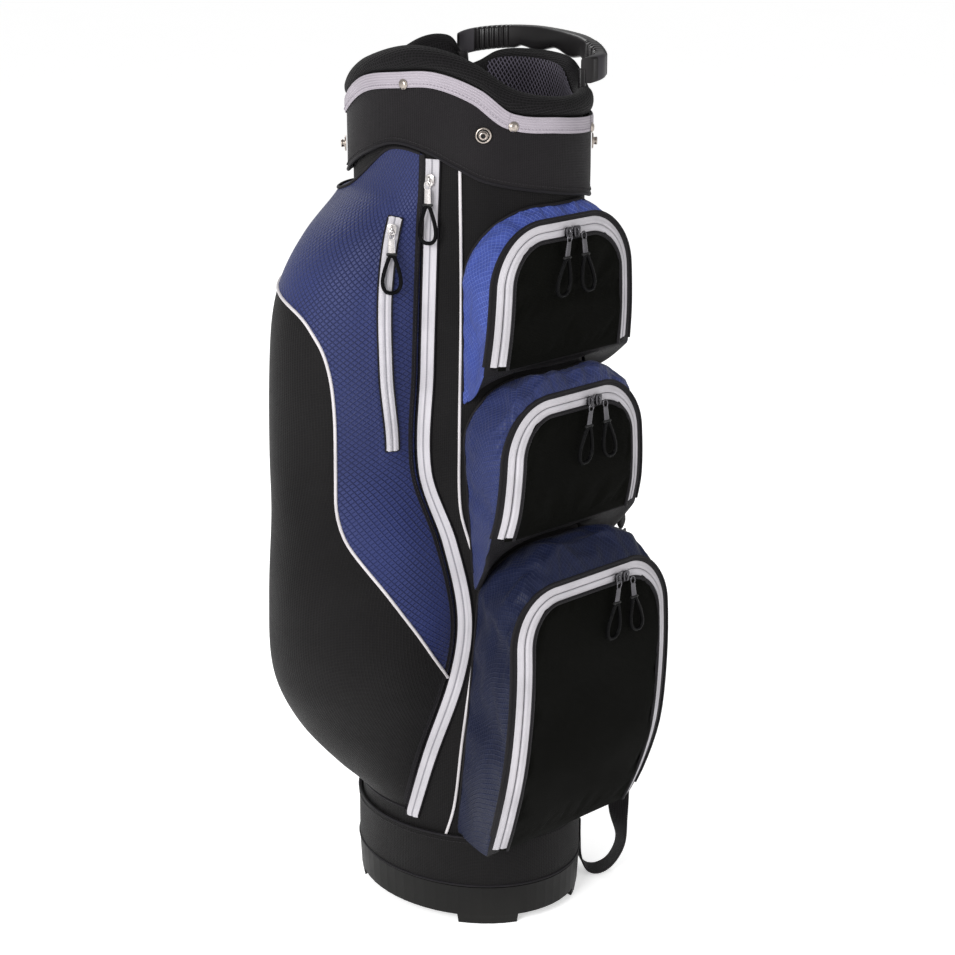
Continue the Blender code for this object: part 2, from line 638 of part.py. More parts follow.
def make_side_pockets(build):
    for side, word in ((-1, "left"), (1, "right")):
        build.shell("garment_pocket_" + word, pocket_grid(side, 0), pocket_grid(side, POCKET_WALL),
                    "blue ripstop")
        path, normals = [], []
        count = 40
        top = zip_top(side)
        for step in range(count + 1):
            height = top + (ZIP_FLOOR - top) * step / count
            angle = side * zip_angle(height)
            path.append(on_bag(angle, height, GAP + ZIP_THICK / 2))
            normals.append(outward(angle))
        build.ribbon("garment_zip_" + word, path, normals, ZIP_WIDTH, ZIP_THICK, "zip coil")
    path, normals = [], []
    top, low = SHORT_ZIP
    count = 24
    for step in range(count + 1):
        height = top + (low - top) * step / count
        point, normal = pocket_face(-1, SHORT_ZIP_ANGLE, height, SHORT_ZIP_LIFT)
        path.append(point)
        normals.append(normal)
    build.ribbon("valuables_zip_left", path, normals, ZIP_WIDTH, ZIP_THICK, "zip coil")


# Front pockets

def roof_height(outline, x):
    """Height of an arch's roof at a distance from its middle."""
    half_width, low, high, corner = outline
    past = min(max(abs(x) - (half_width - corner), 0.0), corner)
    return high - corner + math.sqrt(corner ** 2 - past ** 2)


def front_spread(shape, height):
    """How much wider a front panel is at a height than at its top; a foot narrows it again."""
    low, high = shape["front"][1:3]
    spread = 1 + shape["taper"] * (high - height) / (high - low)
    if "foot" in shape:
        start, amount = shape["foot"]
        below = min(max((start - height) / (start - low), 0.0), 1.0)
        spread -= amount * below ** 2
    return spread


def seam_spread(shape, height):
    low, high = shape["seam"][1:3]
    return 1 + shape["seam_taper"] * (high - height) / (high - low)


def arch(half_width, low, high, corner, spread=None, neighbour=None):
    """An upright outline of (x, height), round at the top corners.

    Spread gives its width factor at a height. Its floor is level, or follows the roof of the
    neighbour below.
    """
    base = 12
    side = 5
    turn = 6
    roof = 6
    points = [(-half_width + 2 * half_width * i / base, low) for i in range(base, 0, -1)]
    points += [(-half_width, low + (high - corner - low) * i / side) for i in range(side)]
    for i in range(turn + 1):
        angle = math.pi - math.pi / 2 * i / turn
        rise = high - corner + corner * math.sin(angle)
        points.append((-half_width + corner + corner * math.cos(angle), rise))
    span = 2 * (half_width - corner)
    points += [(-half_width + corner + span * i / roof, high) for i in range(1, roof)]
    for i in range(turn + 1):
        angle = math.pi / 2 - math.pi / 2 * i / turn
        rise = high - corner + corner * math.sin(angle)
        points.append((half_width - corner + corner * math.cos(angle), rise))
    points += [(half_width, high - corner - (high - corner - low) * i / side) for i in range(1, side)]
    placed = []
    for x, height in points:
        if spread:
            x *= spread(height)
        if neighbour:
            floor = roof_height(neighbour, x) + NEIGHBOUR_GAP
            height = floor + (height - low) * (high - floor) / (high - low)
        placed.append((x, height))
    return placed


def skin_depth(x, offset):
    reach = TUBE_HALF_X + offset
    return (TUBE_HALF_Y + offset) * math.sqrt(max(1 - (x / reach) ** 2, 0.0))


def inset_arch(outline, inset, **more):
    half_width, low, high, corner = outline
    return arch(half_width - inset, low + inset, high - inset, corner - inset, **more)


def pocket_rings(shape, inset):
    """The pocket's seam, middle and front outlines as rings of points, inset by its wall."""
    neighbour = shape.get("neighbour")
    if neighbour and inset:
        half_width, low, high, corner = neighbour
        neighbour = (half_width, low, high + inset, corner)
    seam_outline = inset_arch(shape["seam"], inset, spread=partial(seam_spread, shape),
                                neighbour=neighbour)
    seam = [Vector((x, -skin_depth(x, SEAM_LIFT), z)) for x, z in seam_outline]
    front_outline = inset_arch(shape["front"], inset, spread=partial(front_spread, shape))
    front = [Vector((x, -face_depth(shape, z), z)) for x, z in front_outline]
    half_width, low, high, corner = shape["middle"]
    middle = []
    for (x, z), back, ahead in zip(inset_arch(shape["middle"], inset), seam, front):
        roof = min(max((z - (high - corner)) / corner, 0.0), 1.0)
        mean = (back + ahead) / 2
        mean.x *= SIDE_BULGE
        mean.y -= SIDE_FORWARD
        arched = Vector((x, -shape["middle_depth"], z))
        middle.append(mean.lerp(arched, roof))
    return [seam, middle, front]


def face_depth(shape, height):
    return smooth_table(shape["depth"], height)


def panel_grid(shape, inset, depth_shift):
    """Rows of points over a front panel, inside the front outline by the inset."""
    half, low, high, corner = shape["front"]
    start = low + FLAP_FLOOR
    half, high, corner = half - inset, high - inset, corner - inset
    heights = [start + (high - corner - start) * i / 5 for i in range(5)]
    heights += [high - corner + corner * math.sin(math.radians(80) * i / 6) for i in range(7)]
    grid = []
    for z in heights:
        above = max(z - (high - corner), 0.0)
        reach = half - corner + math.sqrt(corner ** 2 - above ** 2)
        reach *= front_spread(shape, z)
        grid.append([Vector((reach * i / 4, -face_depth(shape, z) + depth_shift, z))
                     for i in range(-4, 5)])
    return grid


def loop_points(pivot, side, down, out, lift, length, width):
    """A hanging teardrop: narrow at the pivot and round at the bottom."""
    points = []
    count = 16
    for step in range(count):
        turn = 2 * math.pi * (step + 0.5) / count
        fall = length * (0.5 - 0.5 * math.cos(turn))
        spread = width / 2 * math.sin(turn) * (0.35 + 0.65 * fall / length)
        spread += math.copysign(PULL_NECK, math.sin(turn))
        here = pivot + side * spread + down * (fall + PULL_CORD)
        points.append(here + out * lift(here))
    return points


def make_front_pockets(build):
    wall = POCKET_WALL
    for word, shape in FRONT_POCKETS.items():
        rings = pocket_rings(shape, 0) + list(reversed(pocket_rings(shape, wall)))
        build.loft(word + "_gusset", rings, "blue ripstop", wrap=True)
        half, low, high, corner = shape["front"]
        hinge = Vector((0, -face_depth(shape, low + FLAP_FLOOR), low + FLAP_FLOOR))
        inset = wall + 5.5 * GAP + ZIP_WIDTH / 2
        flap = build.shell(word + "_flap", panel_grid(shape, inset, 0.0),
                           panel_grid(shape, inset, PANEL_THICK), "black ripstop", pivot=hinge)
        middle = wall + 3.5 * GAP + ZIP_WIDTH / 4
        floor = low + ZIP_FOOT
        outline = arch(half - middle, floor, high - middle, corner - middle,
                       spread=partial(front_spread, shape))
        outline = outline[12:] + outline[:1]
        path = [Vector((x, -face_depth(shape, z) + ZIP_SUNK, z)) for x, z in outline]
        normals = [Vector((0, -1, 0))] * len(path)
        build.ribbon(word + "_zip", path, normals, ZIP_WIDTH / 2, ZIP_THICK, "zip coil")
        make_front_sliders(build, word, shape, flap, inset)


def make_front_sliders(build, word, shape, flap, inset):
    high = shape["front"][2]
    level = high - inset - SLIDER_DROP
    face = face_depth(shape, level - SLIDER_SIZE[2] / 2) + 2 * GAP
    for sign, turn in ((-1, "left"), (1, "right")):
        x = shape["slot_centre"] + sign * SLIDER_SPACING / 2
        place = Vector((x, -face - SLIDER_SIZE[1] / 2, level))
        slider = build.block("%s_slider_%s" % (word, turn), SLIDER_SIZE, place, (0, -1, 0), "gunmetal",
                             pivot=place, parent=flap)
        pivot = Vector((x + sign * PULL_SIDE, -face - SLIDER_SIZE[1] - PULL_CORD - GAP, level))
        side = Vector((1, 0, 0))
        lean = Vector((sign * 0.16, 0, -1)).normalized()

        def lift(point):
            clear = face_depth(shape, point.z) + PULL_CORD + 2 * GAP
            return max(clear + point.y, 0.0)

        points = loop_points(pivot, side, lean, Vector((0, -1, 0)), lift, PULL_LENGTH, PULL_WIDTH * 0.8)
        build.cord_loop("%s_pull_%s" % (word, turn), points, PULL_CORD, "puller cord",
                        pivot=pivot, parent=slider)


def make_side_sliders(build):
    for side, word in ((-1, "left"), (1, "right")):
        height = zip_top(side) - SIDE_SLIDER_DROP
        angle = side * zip_angle(height)
        out = outward(angle)
        place = on_bag(angle, height, GAP + ZIP_THICK + SIDE_SLIDER_CLEAR + SLIDER_SIZE[1] / 2)
        slider = build.block("garment_slider_" + word, SLIDER_SIZE, place, out, "gunmetal", pivot=place)
        pivot = place + out * (SLIDER_SIZE[1] / 2 + PULL_CORD + GAP)
        hang_side_pull(build, "garment_pull_" + word, slider, pivot, out, side, 0.0052)
    height = SHORT_ZIP[0] - 0.012
    place, normal = pocket_face(-1, SHORT_ZIP_ANGLE, height, SHORT_ZIP_LIFT + ZIP_THICK / 2)
    place += normal * (3 * SIDE_SLIDER_CLEAR + SLIDER_SIZE[1] / 2)
    flat_out = Vector((normal.x, normal.y, 0)).normalized()
    slider = build.block("valuables_slider_left", SLIDER_SIZE, place, flat_out, "gunmetal", pivot=place)
    pivot = place + flat_out * (SLIDER_SIZE[1] / 2 + PULL_CORD + GAP)
    hang_side_pull(build, "valuables_pull_left", slider, pivot, flat_out, -1, 0.0065)


def hang_side_pull(build, name, slider, pivot, out, side, clear):
    across = Vector((0, 0, 1)).cross(out)

    def lift(point):
        best = 0.0
        for step in range(60):
            reach = 0.001 * step
            moved = point + out * reach
            turn = math.degrees(math.atan2(abs(moved.x) / TUBE_HALF_X, -moved.y / TUBE_HALF_Y))
            surface = on_bag(side * turn, moved.z, pocket_offset(turn, moved.z) + POCKET_LIFT)
            if moved.xy.length > surface.xy.length + PULL_CORD + clear:
                return reach
            best = reach
        return best

    points = loop_points(pivot, across, Vector((0, 0, -1)), out, lift, PULL_LENGTH, PULL_WIDTH)
    build.cord_loop(name, points, PULL_CORD, "puller cord", pivot=pivot, parent=slider)



# Shoulder strap

def strap_run(route, steps):
    """A smooth run of points through a strap's route, and the directions square to its face."""
    count = len(route) - 1
    tables = [[(i, row[k]) for i, row in enumerate(route)] for k in range(4)]
    path, flats, twists = [], [], []
    for step in range(steps + 1):
        where = count * step / steps
        angle, height, lift, twist = (smooth_table(table, where) for table in tables)
        point, normal = pocket_face(1, angle, height, lift)
        path.append(point)
        flats.append(normal)
        twists.append(twist)
    facing = []
    for i, twist in enumerate(twists):
        ahead = (path[min(i + 1, steps)] - path[max(i - 1, 0)]).normalized()
        across = Vector((0, 0, 1)).cross(flats[i])
        flat = ahead.cross(across).normalized()
        facing.append(Matrix.Rotation(math.radians(twist), 3, ahead) @ flat)
    return path, facing


def make_strap(build):
    path, facing = strap_run(UPPER_STRAP, 12)
    build.ribbon("strap_upper_webbing", path, facing, STRAP_WIDTH, STRAP_THICK, "strap webbing")
    path, facing = strap_run(STRAP_PAD, 14)
    build.ribbon("strap_pad", path, facing, PAD_WIDTH, PAD_THICK, "black ripstop")
    path, facing = strap_run(LOWER_STRAP, 56)
    build.ribbon("strap_lower_webbing", path, facing, STRAP_WIDTH, STRAP_THICK, "strap webbing")
    ring = []
    angle, height, lift = STRAP_RING_PLACE
    half_width, half_height, wire = STRAP_RING_SIZE
    centre = on_bag(angle, height, lift)
    across = Vector((0, 0, 1)).cross(outward(angle))
    count = 20
    for step in range(count):
        turn = 2 * math.pi * step / count
        rise = Vector((0, 0, half_height * math.sin(turn)))
        ring.append(centre + across * half_width * math.cos(turn) + rise)
    build.cord_loop("strap_d_ring", ring, wire, "steel", pivot=centre)


def main():
    clear_scene()
    parts = make_collection("golf_cart_bag")
    cutters = make_collection("golf_cart_bag_cutters")
    root = bpy.data.objects.new("golf_cart_bag_origin", None)
    parts.objects.link(root)
    root.location = (0, AXIS_Y, 0)
    build = Builder(parts, cutters, root)
    make_base(build)
    make_tube(build)
    make_dividers(build)
    ring, pad = make_rim(build)
    make_handle(build, ring, pad)
    make_hardware(build)
    make_side_pockets(build)
    make_front_pockets(build)
    make_side_sliders(build)
    make_strap(build)


main()
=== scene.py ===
"""Looks for the golf cart bag: cloth, webbing, zips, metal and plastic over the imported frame.

Metres, +Z up. The front pockets face -Y and the carry handle is on the +X side. Angles are degrees
around the tube from the front, positive towards +X.
"""
import json
from contextlib import contextmanager
from functools import partial
from math import atan2, copysign, cos, degrees, exp, pi, radians, sin, sqrt

import bmesh
import bpy
import numpy as np
from mathutils import Matrix, Vector, noise

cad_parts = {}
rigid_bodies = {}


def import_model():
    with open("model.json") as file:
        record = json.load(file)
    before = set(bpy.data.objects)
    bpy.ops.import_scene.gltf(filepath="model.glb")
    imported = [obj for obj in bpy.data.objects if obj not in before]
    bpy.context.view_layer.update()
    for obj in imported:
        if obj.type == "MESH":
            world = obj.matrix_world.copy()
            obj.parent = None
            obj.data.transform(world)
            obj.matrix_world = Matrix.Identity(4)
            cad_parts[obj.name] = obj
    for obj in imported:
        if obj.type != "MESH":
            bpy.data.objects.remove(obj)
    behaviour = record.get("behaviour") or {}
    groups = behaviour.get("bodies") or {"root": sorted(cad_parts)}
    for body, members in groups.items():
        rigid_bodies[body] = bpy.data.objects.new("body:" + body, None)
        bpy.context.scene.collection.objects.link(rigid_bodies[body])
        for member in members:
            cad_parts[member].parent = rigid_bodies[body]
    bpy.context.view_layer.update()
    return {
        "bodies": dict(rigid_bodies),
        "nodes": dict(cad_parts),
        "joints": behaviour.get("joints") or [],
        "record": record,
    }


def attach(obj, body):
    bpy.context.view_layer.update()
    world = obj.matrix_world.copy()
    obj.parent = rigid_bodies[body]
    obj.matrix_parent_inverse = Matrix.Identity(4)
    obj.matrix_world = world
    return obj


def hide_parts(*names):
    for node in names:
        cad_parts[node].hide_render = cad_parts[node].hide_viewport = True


# Driving dimensions, the same as the frame's
TUBE_HALF_X = 0.1030
TUBE_HALF_Y = 0.1225
AXIS_Y = 0.0291
GAP = 0.0004
BASE_STEP = 0.042
BASE_TOP = 0.074
CUFF_TOP = 0.098
CUFF_FACE = 0.0034
COLLAR_OFFSET = 0.0050
COLLAR_LINE = ((-180, 0.7475), (-150, 0.750), (-134, 0.753), (-104, 0.779), (-85, 0.793), (-68, 0.788),
               (-53, 0.774), (-40, 0.762), (-8, 0.750), (18, 0.742), (44, 0.735), (60, 0.752),
               (80, 0.765), (100, 0.767), (125, 0.762), (150, 0.750), (180, 0.7475))
TRIM_LINE = ((-180, 0.814), (-134, 0.823), (-103, 0.851), (-80, 0.859), (-63, 0.8605), (-45, 0.8475),
             (-30, 0.8255), (-4, 0.8185), (20, 0.814), (46, 0.812), (70, 0.816), (92, 0.820),
             (115, 0.818), (145, 0.813), (180, 0.814))
TRIM_HEIGHT = 0.014
CREST_LINE = ((-180, 0.845), (-150, 0.839), (-134, 0.843), (-120, 0.856), (-105, 0.869), (-80, 0.883),
              (-62, 0.881), (-46, 0.8695), (-27, 0.8465), (-5, 0.8375), (18, 0.836), (36, 0.838),
              (50, 0.838), (58, 0.847), (66, 0.857), (80, 0.861), (104, 0.861), (116, 0.857),
              (126, 0.846), (132, 0.845), (138, 0.867),
              (144, 0.8725), (154, 0.871), (165, 0.862), (180, 0.845))
PAD_MIDDLE = -0.0025
PAD_HALF = 0.0095
DIVIDER_TOP = 0.795
DIVIDER_LOW = 0.020
DIVIDER_THICK = 0.005
CROSS_PANEL_Y = 0.036
SPINE_CLEAR = 0.0125
CROSS_CLEAR = 0.0185

POCKET_BACK_ANGLE = 150.0
POCKET_BELOW_COLLAR = 0.0045   # from the collar's lower edge to a side pocket's top edge
POCKET_FALL = (86.0, 132.0)    # between these angles the top edge falls away behind
POCKET_BACK_TOP = 0.738
POCKET_LIFT = 0.0012
ZIP_WIDTH = 0.014
ZIP_THICK = 0.0016
ZIP_TO_POCKET = 4.7
ZIP_BELOW_COLLAR = 0.005
ZIP_FLOOR = 0.1085
SHORT_ZIP_ANGLE = 80.0
SHORT_ZIP_LIFT = 0.0022
SHORT_ZIP = (0.726, 0.502)
ZIP_LINE = ((0.776, 65.5), (0.68, 67.2), (0.58, 68.9), (0.48, 70.3), (0.41, 58.0),
            (0.335, 50.6), (0.27, 54.5), (0.18, 69.0), (0.112, 79.0))
BULGE = ((0.790, 0.0012), (0.770, 0.0035), (0.7465, 0.010), (0.735, 0.022), (0.70, 0.057),
         (0.655, 0.084), (0.60, 0.095), (0.45, 0.100), (0.34, 0.112), (0.265, 0.108),
         (0.205, 0.080), (0.15, 0.036), (0.116, 0.0))

FRONT_POCKETS = {
    "top": {
        "cloth": "royal",
        "front": (0.0885, 0.5875, 0.727, 0.058),
        "taper": 0.11,
        "seam": (0.0815, 0.586, 0.738, 0.058),
        "seam_taper": 0.0,
        "neighbour": (0.0835, 0.422, 0.5765, 0.050),
        "middle": (0.0865, 0.5865, 0.735, 0.060),
        "middle_depth": 0.122,
        "depth": ((0.58, 0.131), (0.63, 0.1365), (0.69, 0.137), (0.73, 0.1335)),
        "slot_centre": 0.002,
    },
    "mid": {
        "cloth": "navy_front",
        "front": (0.0895, 0.424, 0.5645, 0.056),
        "taper": 0.13,
        "seam": (0.0835, 0.422, 0.5765, 0.050),
        "seam_taper": -0.10,
        "neighbour": (0.0700, 0.099, 0.4115, 0.056),
        "middle": (0.0895, 0.4225, 0.5805, 0.056),
        "middle_depth": 0.1405,
        "depth": ((0.42, 0.142), (0.46, 0.152), (0.52, 0.154), (0.57, 0.149)),
        "slot_centre": 0.018,
    },
    "cooler": {
        "cloth": "navy_deep",
        "front": (0.1065, 0.1025, 0.388, 0.058),
        "taper": 0.07,
        "foot": (0.215, 0.105),
        "seam": (0.0700, 0.099, 0.4115, 0.056),
        "seam_taper": 0.22,
        "middle": (0.1005, 0.102, 0.4165, 0.064),
        "middle_depth": 0.157,
        "depth": ((0.10, 0.141), (0.145, 0.159), (0.20, 0.1745), (0.27, 0.182),
                  (0.33, 0.182), (0.39, 0.175)),
        "slot_centre": 0.034,
    },
}
NEIGHBOUR_GAP = 0.0065
SIDE_BULGE = 1.02
SIDE_FORWARD = 0.004
SEAM_LIFT = 0.0016
WALL = 0.003
ZIP_FOOT = 0.0090
FLAP_INSET = WALL + 5.5 * GAP + ZIP_WIDTH / 2
FLAP_FLOOR = 0.0045
SLIDER_SPACING = 0.011
SLIDER_SIZE = (0.009, 0.0055, 0.011)
SLIDER_DROP = 0.002
SIDE_SLIDER_DROP = 0.019
SIDE_SLIDER_CLEAR = 0.0008
PULL_SIDE = 0.0035
PULL_LENGTH = 0.058
PULL_WIDTH = 0.020
PULL_CORD = 0.0016

HANDLE_FROM = 40.0
HANDLE_TO = 136.5
HANDLE_OFFSET = 0.0160
HANDLE_HEIGHT = 0.024
HANDLE_THICK = 0.012
HANDLE_LINE = ((40, 0.867), (50, 0.868), (60, 0.873), (70, 0.877), (80, 0.879), (90, 0.8805),
               (100, 0.8815), (110, 0.881), (120, 0.8795), (130, 0.877), (136.5, 0.8755))
POST_SIZE = (0.012, 0.007, 0.052)
POST_OFFSET = -0.0048
POST_TURN = 2.5
POST_BELOW_TRIM = 0.011
HANDLE_ARCH = 0.003
HANDLE_CORNER = 0.003
RIB_HEIGHT = 0.0009
RIBS_FROM = 24.0
RIBS_TO = 40.0
WAVE_HEIGHT = 0.0022
WAVES_TO = 22.0

STRAP_WIDTH = 0.024
STRAP_THICK = 0.0022
PAD_WIDTH = 0.052
PAD_THICK = 0.010
UPPER_STRAP = ((92, 0.764, 0.0105, 0), (92, 0.742, 0.007, 0), (91, 0.715, 0.0065, 0),
               (90, 0.68, 0.006, 0), (89, 0.645, 0.0065, 0), (88, 0.632, 0.0065, 0))
STRAP_PAD = ((88, 0.6275, 0.0075, 0), (86, 0.56, 0.0075, 0), (83, 0.49, 0.0075, 0),
             (80, 0.42, 0.0075, 0), (76, 0.36, 0.0085, 0))
LOWER_STRAP = ((75.7, 0.356, 0.0095, 0), (72, 0.31, 0.012, 0), (67, 0.265, 0.015, 12),
               (62, 0.22, 0.046, 35), (57, 0.175, 0.046, 62), (53, 0.135, 0.048, 88),
               (52, 0.10, 0.0475, 110), (51, 0.065, 0.048, 140), (50, 0.035, 0.050, 170),
               (49.5, 0.0135, 0.040, 180), (49.5, 0.0042, 0.0255, 180), (51, 0.0065, 0.013, 180),
               (53, 0.021, 0.0062, 180), (54.5, 0.042, 0.0052, 180), (55, 0.062, 0.0052, 180))
RIVET_ANGLES = (-28.0, 28.0, -78.0, 78.0, -152.0, 152.0)
HOOD_STUDS = ((-41.5, 0.8055), (38.0, 0.7865), (-136.0, 0.7780), (136.0, 0.7780))

# Looks only
SLANT = 0.45                   # the zips beside a front pocket's legs slant back this steeply
SLANT_FROM = 0.0195            # from the pocket's outline to where the slant starts
CORNER_SWELL = 0.0022
# (height, angle) where a side pocket's blue cloth meets its black cloth
COLOUR_LINE = ((0.275, 59.3), (0.323, 64.5), (0.366, 72.3), (0.398, 80.0), (0.42, 85.5),
               (0.444, 89.5), (0.486, 92.0), (0.562, 92.0), (0.594, 93.5), (0.612, 96.0),
               (0.636, 103.0), (0.652, 120.0), (0.668, 152.0))
# (height, angle) of the thin white piping on the tube
TUBE_PIPING = ((0.7745, 52.5), (0.65, 52.0), (0.51, 53.0), (0.446, 52.5), (0.41, 48.0), (0.38, 43.0),
               (0.36, 42.0), (0.326, 44.0), (0.263, 48.0), (0.20, 52.0), (0.13, 56.0), (0.093, 61.0))


UP = Vector((0, 0, 1))
SIDES = ((-1, "left"), (1, "right"))
LOOKS = {}                     # materials by short name
FLOOR_HALF = 22.0
# Points along an arch: its floor, each leg, and each corner and its roof
FLOOR_STEPS, LEG_STEPS, BEND_STEPS = 36, 15, 18
# A thread's points as (along, up), in half lengths and radii
STITCH = ((-1, -1), (-0.5, 0.8), (0, 1), (0.5, 0.8), (1, -1))
# Lathe profiles of (radius, height)
RIVET_DOME = ((0.0048, 0.0), (0.0049, 0.0003), (0.0047, 0.0007), (0.0041, 0.0009), (0.0039, 0.0012),
              (0.0034, 0.0017), (0.0025, 0.0021), (0.0013, 0.00235), (0.0, 0.0024))
STUD = ((0.0074, 0.0), (0.0076, 0.0004), (0.0074, 0.0010), (0.0068, 0.0015), (0.0060, 0.0016),
        (0.0055, 0.0012), (0.0050, 0.0010), (0.0044, 0.0012), (0.0038, 0.0016), (0.0035, 0.0022),
        (0.0036, 0.0034), (0.0039, 0.0042), (0.0036, 0.0049), (0.0030, 0.0052), (0.0022, 0.0051),
        (0.0020, 0.0044), (0.0019, 0.0036), (0.0, 0.0035))
SIM_FRAMES = 20
CLOTH = {"vertex_group_mass": "sewn", "quality": 6, "mass": 0.15, "air_damping": 2.0,
         "tension_stiffness": 25, "compression_stiffness": 25, "shear_stiffness": 8,
         "bending_stiffness": 0.15, "use_pressure": True}

# Places on the bag

def outward(angle):
    """Horizontal direction that leaves the oval tube at right angles."""
    turn = radians(angle)
    return Vector((TUBE_HALF_Y * sin(turn), -TUBE_HALF_X * cos(turn), 0)).normalized()


def on_bag(angle, height, offset=0.0):
    turn = radians(angle)
    skin = Vector((TUBE_HALF_X * sin(turn), AXIS_Y - TUBE_HALF_Y * cos(turn), height))
    return skin + offset * outward(angle)


def smooth_table(table, where):
    """Value of a smooth curve through (place, value) pairs, flat beyond its ends."""
    points = sorted(table)
    if where <= points[0][0]:
        return points[0][1]
    if where >= points[-1][0]:
        return points[-1][1]
    index = next(i for i in range(len(points) - 1) if where <= points[i + 1][0])
    (x0, y0), (x1, y1) = points[index], points[index + 1]
    before = points[max(index - 1, 0)]
    after = points[min(index + 2, len(points) - 1)]
    start_slope = (y1 - before[1]) / (x1 - before[0])
    end_slope = (after[1] - y0) / (after[0] - x0)
    t, span = (where - x0) / (x1 - x0), x1 - x0
    return ((2 * t ** 3 - 3 * t ** 2 + 1) * y0 + (t ** 3 - 2 * t ** 2 + t) * span * start_slope
            + (3 * t ** 2 - 2 * t ** 3) * y1 + (t ** 3 - t ** 2) * span * end_slope)


def clamp(value, low=0.0, high=1.0):
    return min(max(value, low), high)


def turns(count, shift=0.0):
    """Evenly spaced angles round a whole circle, in radians."""
    return [2 * pi * (k + shift) / count for k in range(count)]


def blunt(value, power):
    """A sine or cosine pushed towards 1 or -1, which squares off an oval."""
    return copysign(abs(value) ** power, value)


def spaced(low, high, count):
    return [low + (high - low) * i / (count - 1) for i in range(count)]


def collar_low(angle):
    return smooth_table(COLLAR_LINE, (angle + 180) % 360 - 180)


def trim_top(angle):
    return smooth_table(TRIM_LINE, (angle + 180) % 360 - 180)


def trim_low(angle):
    return trim_top(angle) - TRIM_HEIGHT


def crest_height(angle):
    return smooth_table(CREST_LINE, (angle + 180) % 360 - 180)


def zip_top(side):
    return collar_low(side * ZIP_LINE[0][1]) - ZIP_BELOW_COLLAR


def pocket_angle(height, share):
    """Angle at a share of the way from a side pocket's front edge to its back edge."""
    first = smooth_table(ZIP_LINE, height) + ZIP_TO_POCKET
    return first + (POCKET_BACK_ANGLE - first) * share


def pocket_top(side, angle):
    """Height of a side pocket's top edge: close under the collar in front, lower behind."""
    under = collar_low(side * angle) - POCKET_BELOW_COLLAR
    fall = clamp((angle - POCKET_FALL[0]) / (POCKET_FALL[1] - POCKET_FALL[0]))
    return under + (POCKET_BACK_TOP - under) * fall * fall * (3 - 2 * fall)


def pocket_offset(angle, height):
    """How far a side pocket's face stands outside the tube skin; angle is always positive."""
    first = pocket_angle(height, 0)
    along = (angle - first) / (POCKET_BACK_ANGLE - first)
    if not 0 < along < 1 or not BULGE[-1][0] < height <= BULGE[0][0]:
        return 0.0
    return smooth_table(BULGE, height) * sin(pi * along) ** 0.85


def pocket_face(side, angle, height, lift):
    """A point off a side pocket's face, and the direction square to the face there."""
    here, beside, above = (on_bag(side * a, h, POCKET_LIFT + pocket_offset(a, h)) for a, h in
                           ((angle, height), (angle + 0.5, height), (angle, height + 0.004)))
    normal = ((beside - here).cross(above - here) * side).normalized()
    return here + lift * normal, normal


def roof_height(outline, x):
    half_width, _, high, corner = outline
    past = clamp(abs(x) - (half_width - corner), 0.0, corner)
    return high - corner + sqrt(corner ** 2 - past ** 2)


def front_spread(shape, height):
    """How much wider a front panel is at a height than at its top; a foot narrows it again."""
    low, high = shape["front"][1:3]
    spread = 1 + shape["taper"] * (high - height) / (high - low)
    if "foot" in shape:
        start, amount = shape["foot"]
        spread -= amount * clamp((start - height) / (start - low)) ** 2
    return spread


def seam_spread(shape, height):
    low, high = shape["seam"][1:3]
    return 1 + shape["seam_taper"] * (high - height) / (high - low)


def face_depth(shape, height):
    return smooth_table(shape["depth"], height)


def arch(outline, inset=0.0, floor=None, spread=None, neighbour=None):
    """An upright outline of (x, height), round at the top corners: floor, left, roof, right."""
    half, low, high, corner = outline
    half, high, corner = half - inset, high - inset, corner - inset
    low += inset if floor is None else floor
    inner, leg = half - corner, high - corner - low

    def bend(centre, first):
        angles = spaced(first, first - pi / 2, BEND_STEPS + 1)
        return [(centre + corner * cos(a), high - corner + corner * sin(a)) for a in angles]

    points = [(-half + 2 * half * i / FLOOR_STEPS, low) for i in range(FLOOR_STEPS, 0, -1)]
    points += [(-half, low + leg * i / LEG_STEPS) for i in range(LEG_STEPS)]
    points += bend(-inner, pi)
    points += [(-inner + 2 * inner * i / BEND_STEPS, high) for i in range(1, BEND_STEPS)]
    points += bend(inner, pi / 2)
    points += [(half, high - corner - leg * i / LEG_STEPS) for i in range(1, LEG_STEPS)]
    placed = []
    for x, height in points:
        if spread:
            x *= spread(height)
        if neighbour:
            below = roof_height(neighbour, x) + NEIGHBOUR_GAP
            height = below + (height - low) * (high - below) / (high - low)
        placed.append((x, height))
    return placed


def skin_depth(x, offset):
    return (TUBE_HALF_Y + offset) * sqrt(max(1 - (x / (TUBE_HALF_X + offset)) ** 2, 0.0))


def in_front(x, depth, height):
    """A point at a depth in front of the tube's axis."""
    return Vector((x, AXIS_Y - depth, height))


def wobble(point, size, seed=0.0):
    """Smooth noise from -1 to 1; size is the width of its folds in metres."""
    return noise.noise(Vector(point) / size + Vector((seed, 2 * seed, 3 * seed)))


# Mesh builders

def headings(path):
    last = len(path) - 1
    return [(path[min(i + 1, last)] - path[max(i - 1, 0)]).normalized() for i in range(last + 1)]


def shifted(path, normals, across=0.0, rise=0.0):
    """The path moved sideways and along its normals."""
    return [p + ahead.cross(n).normalized() * across + n * rise
            for p, ahead, n in zip(path, headings(path), normals)]


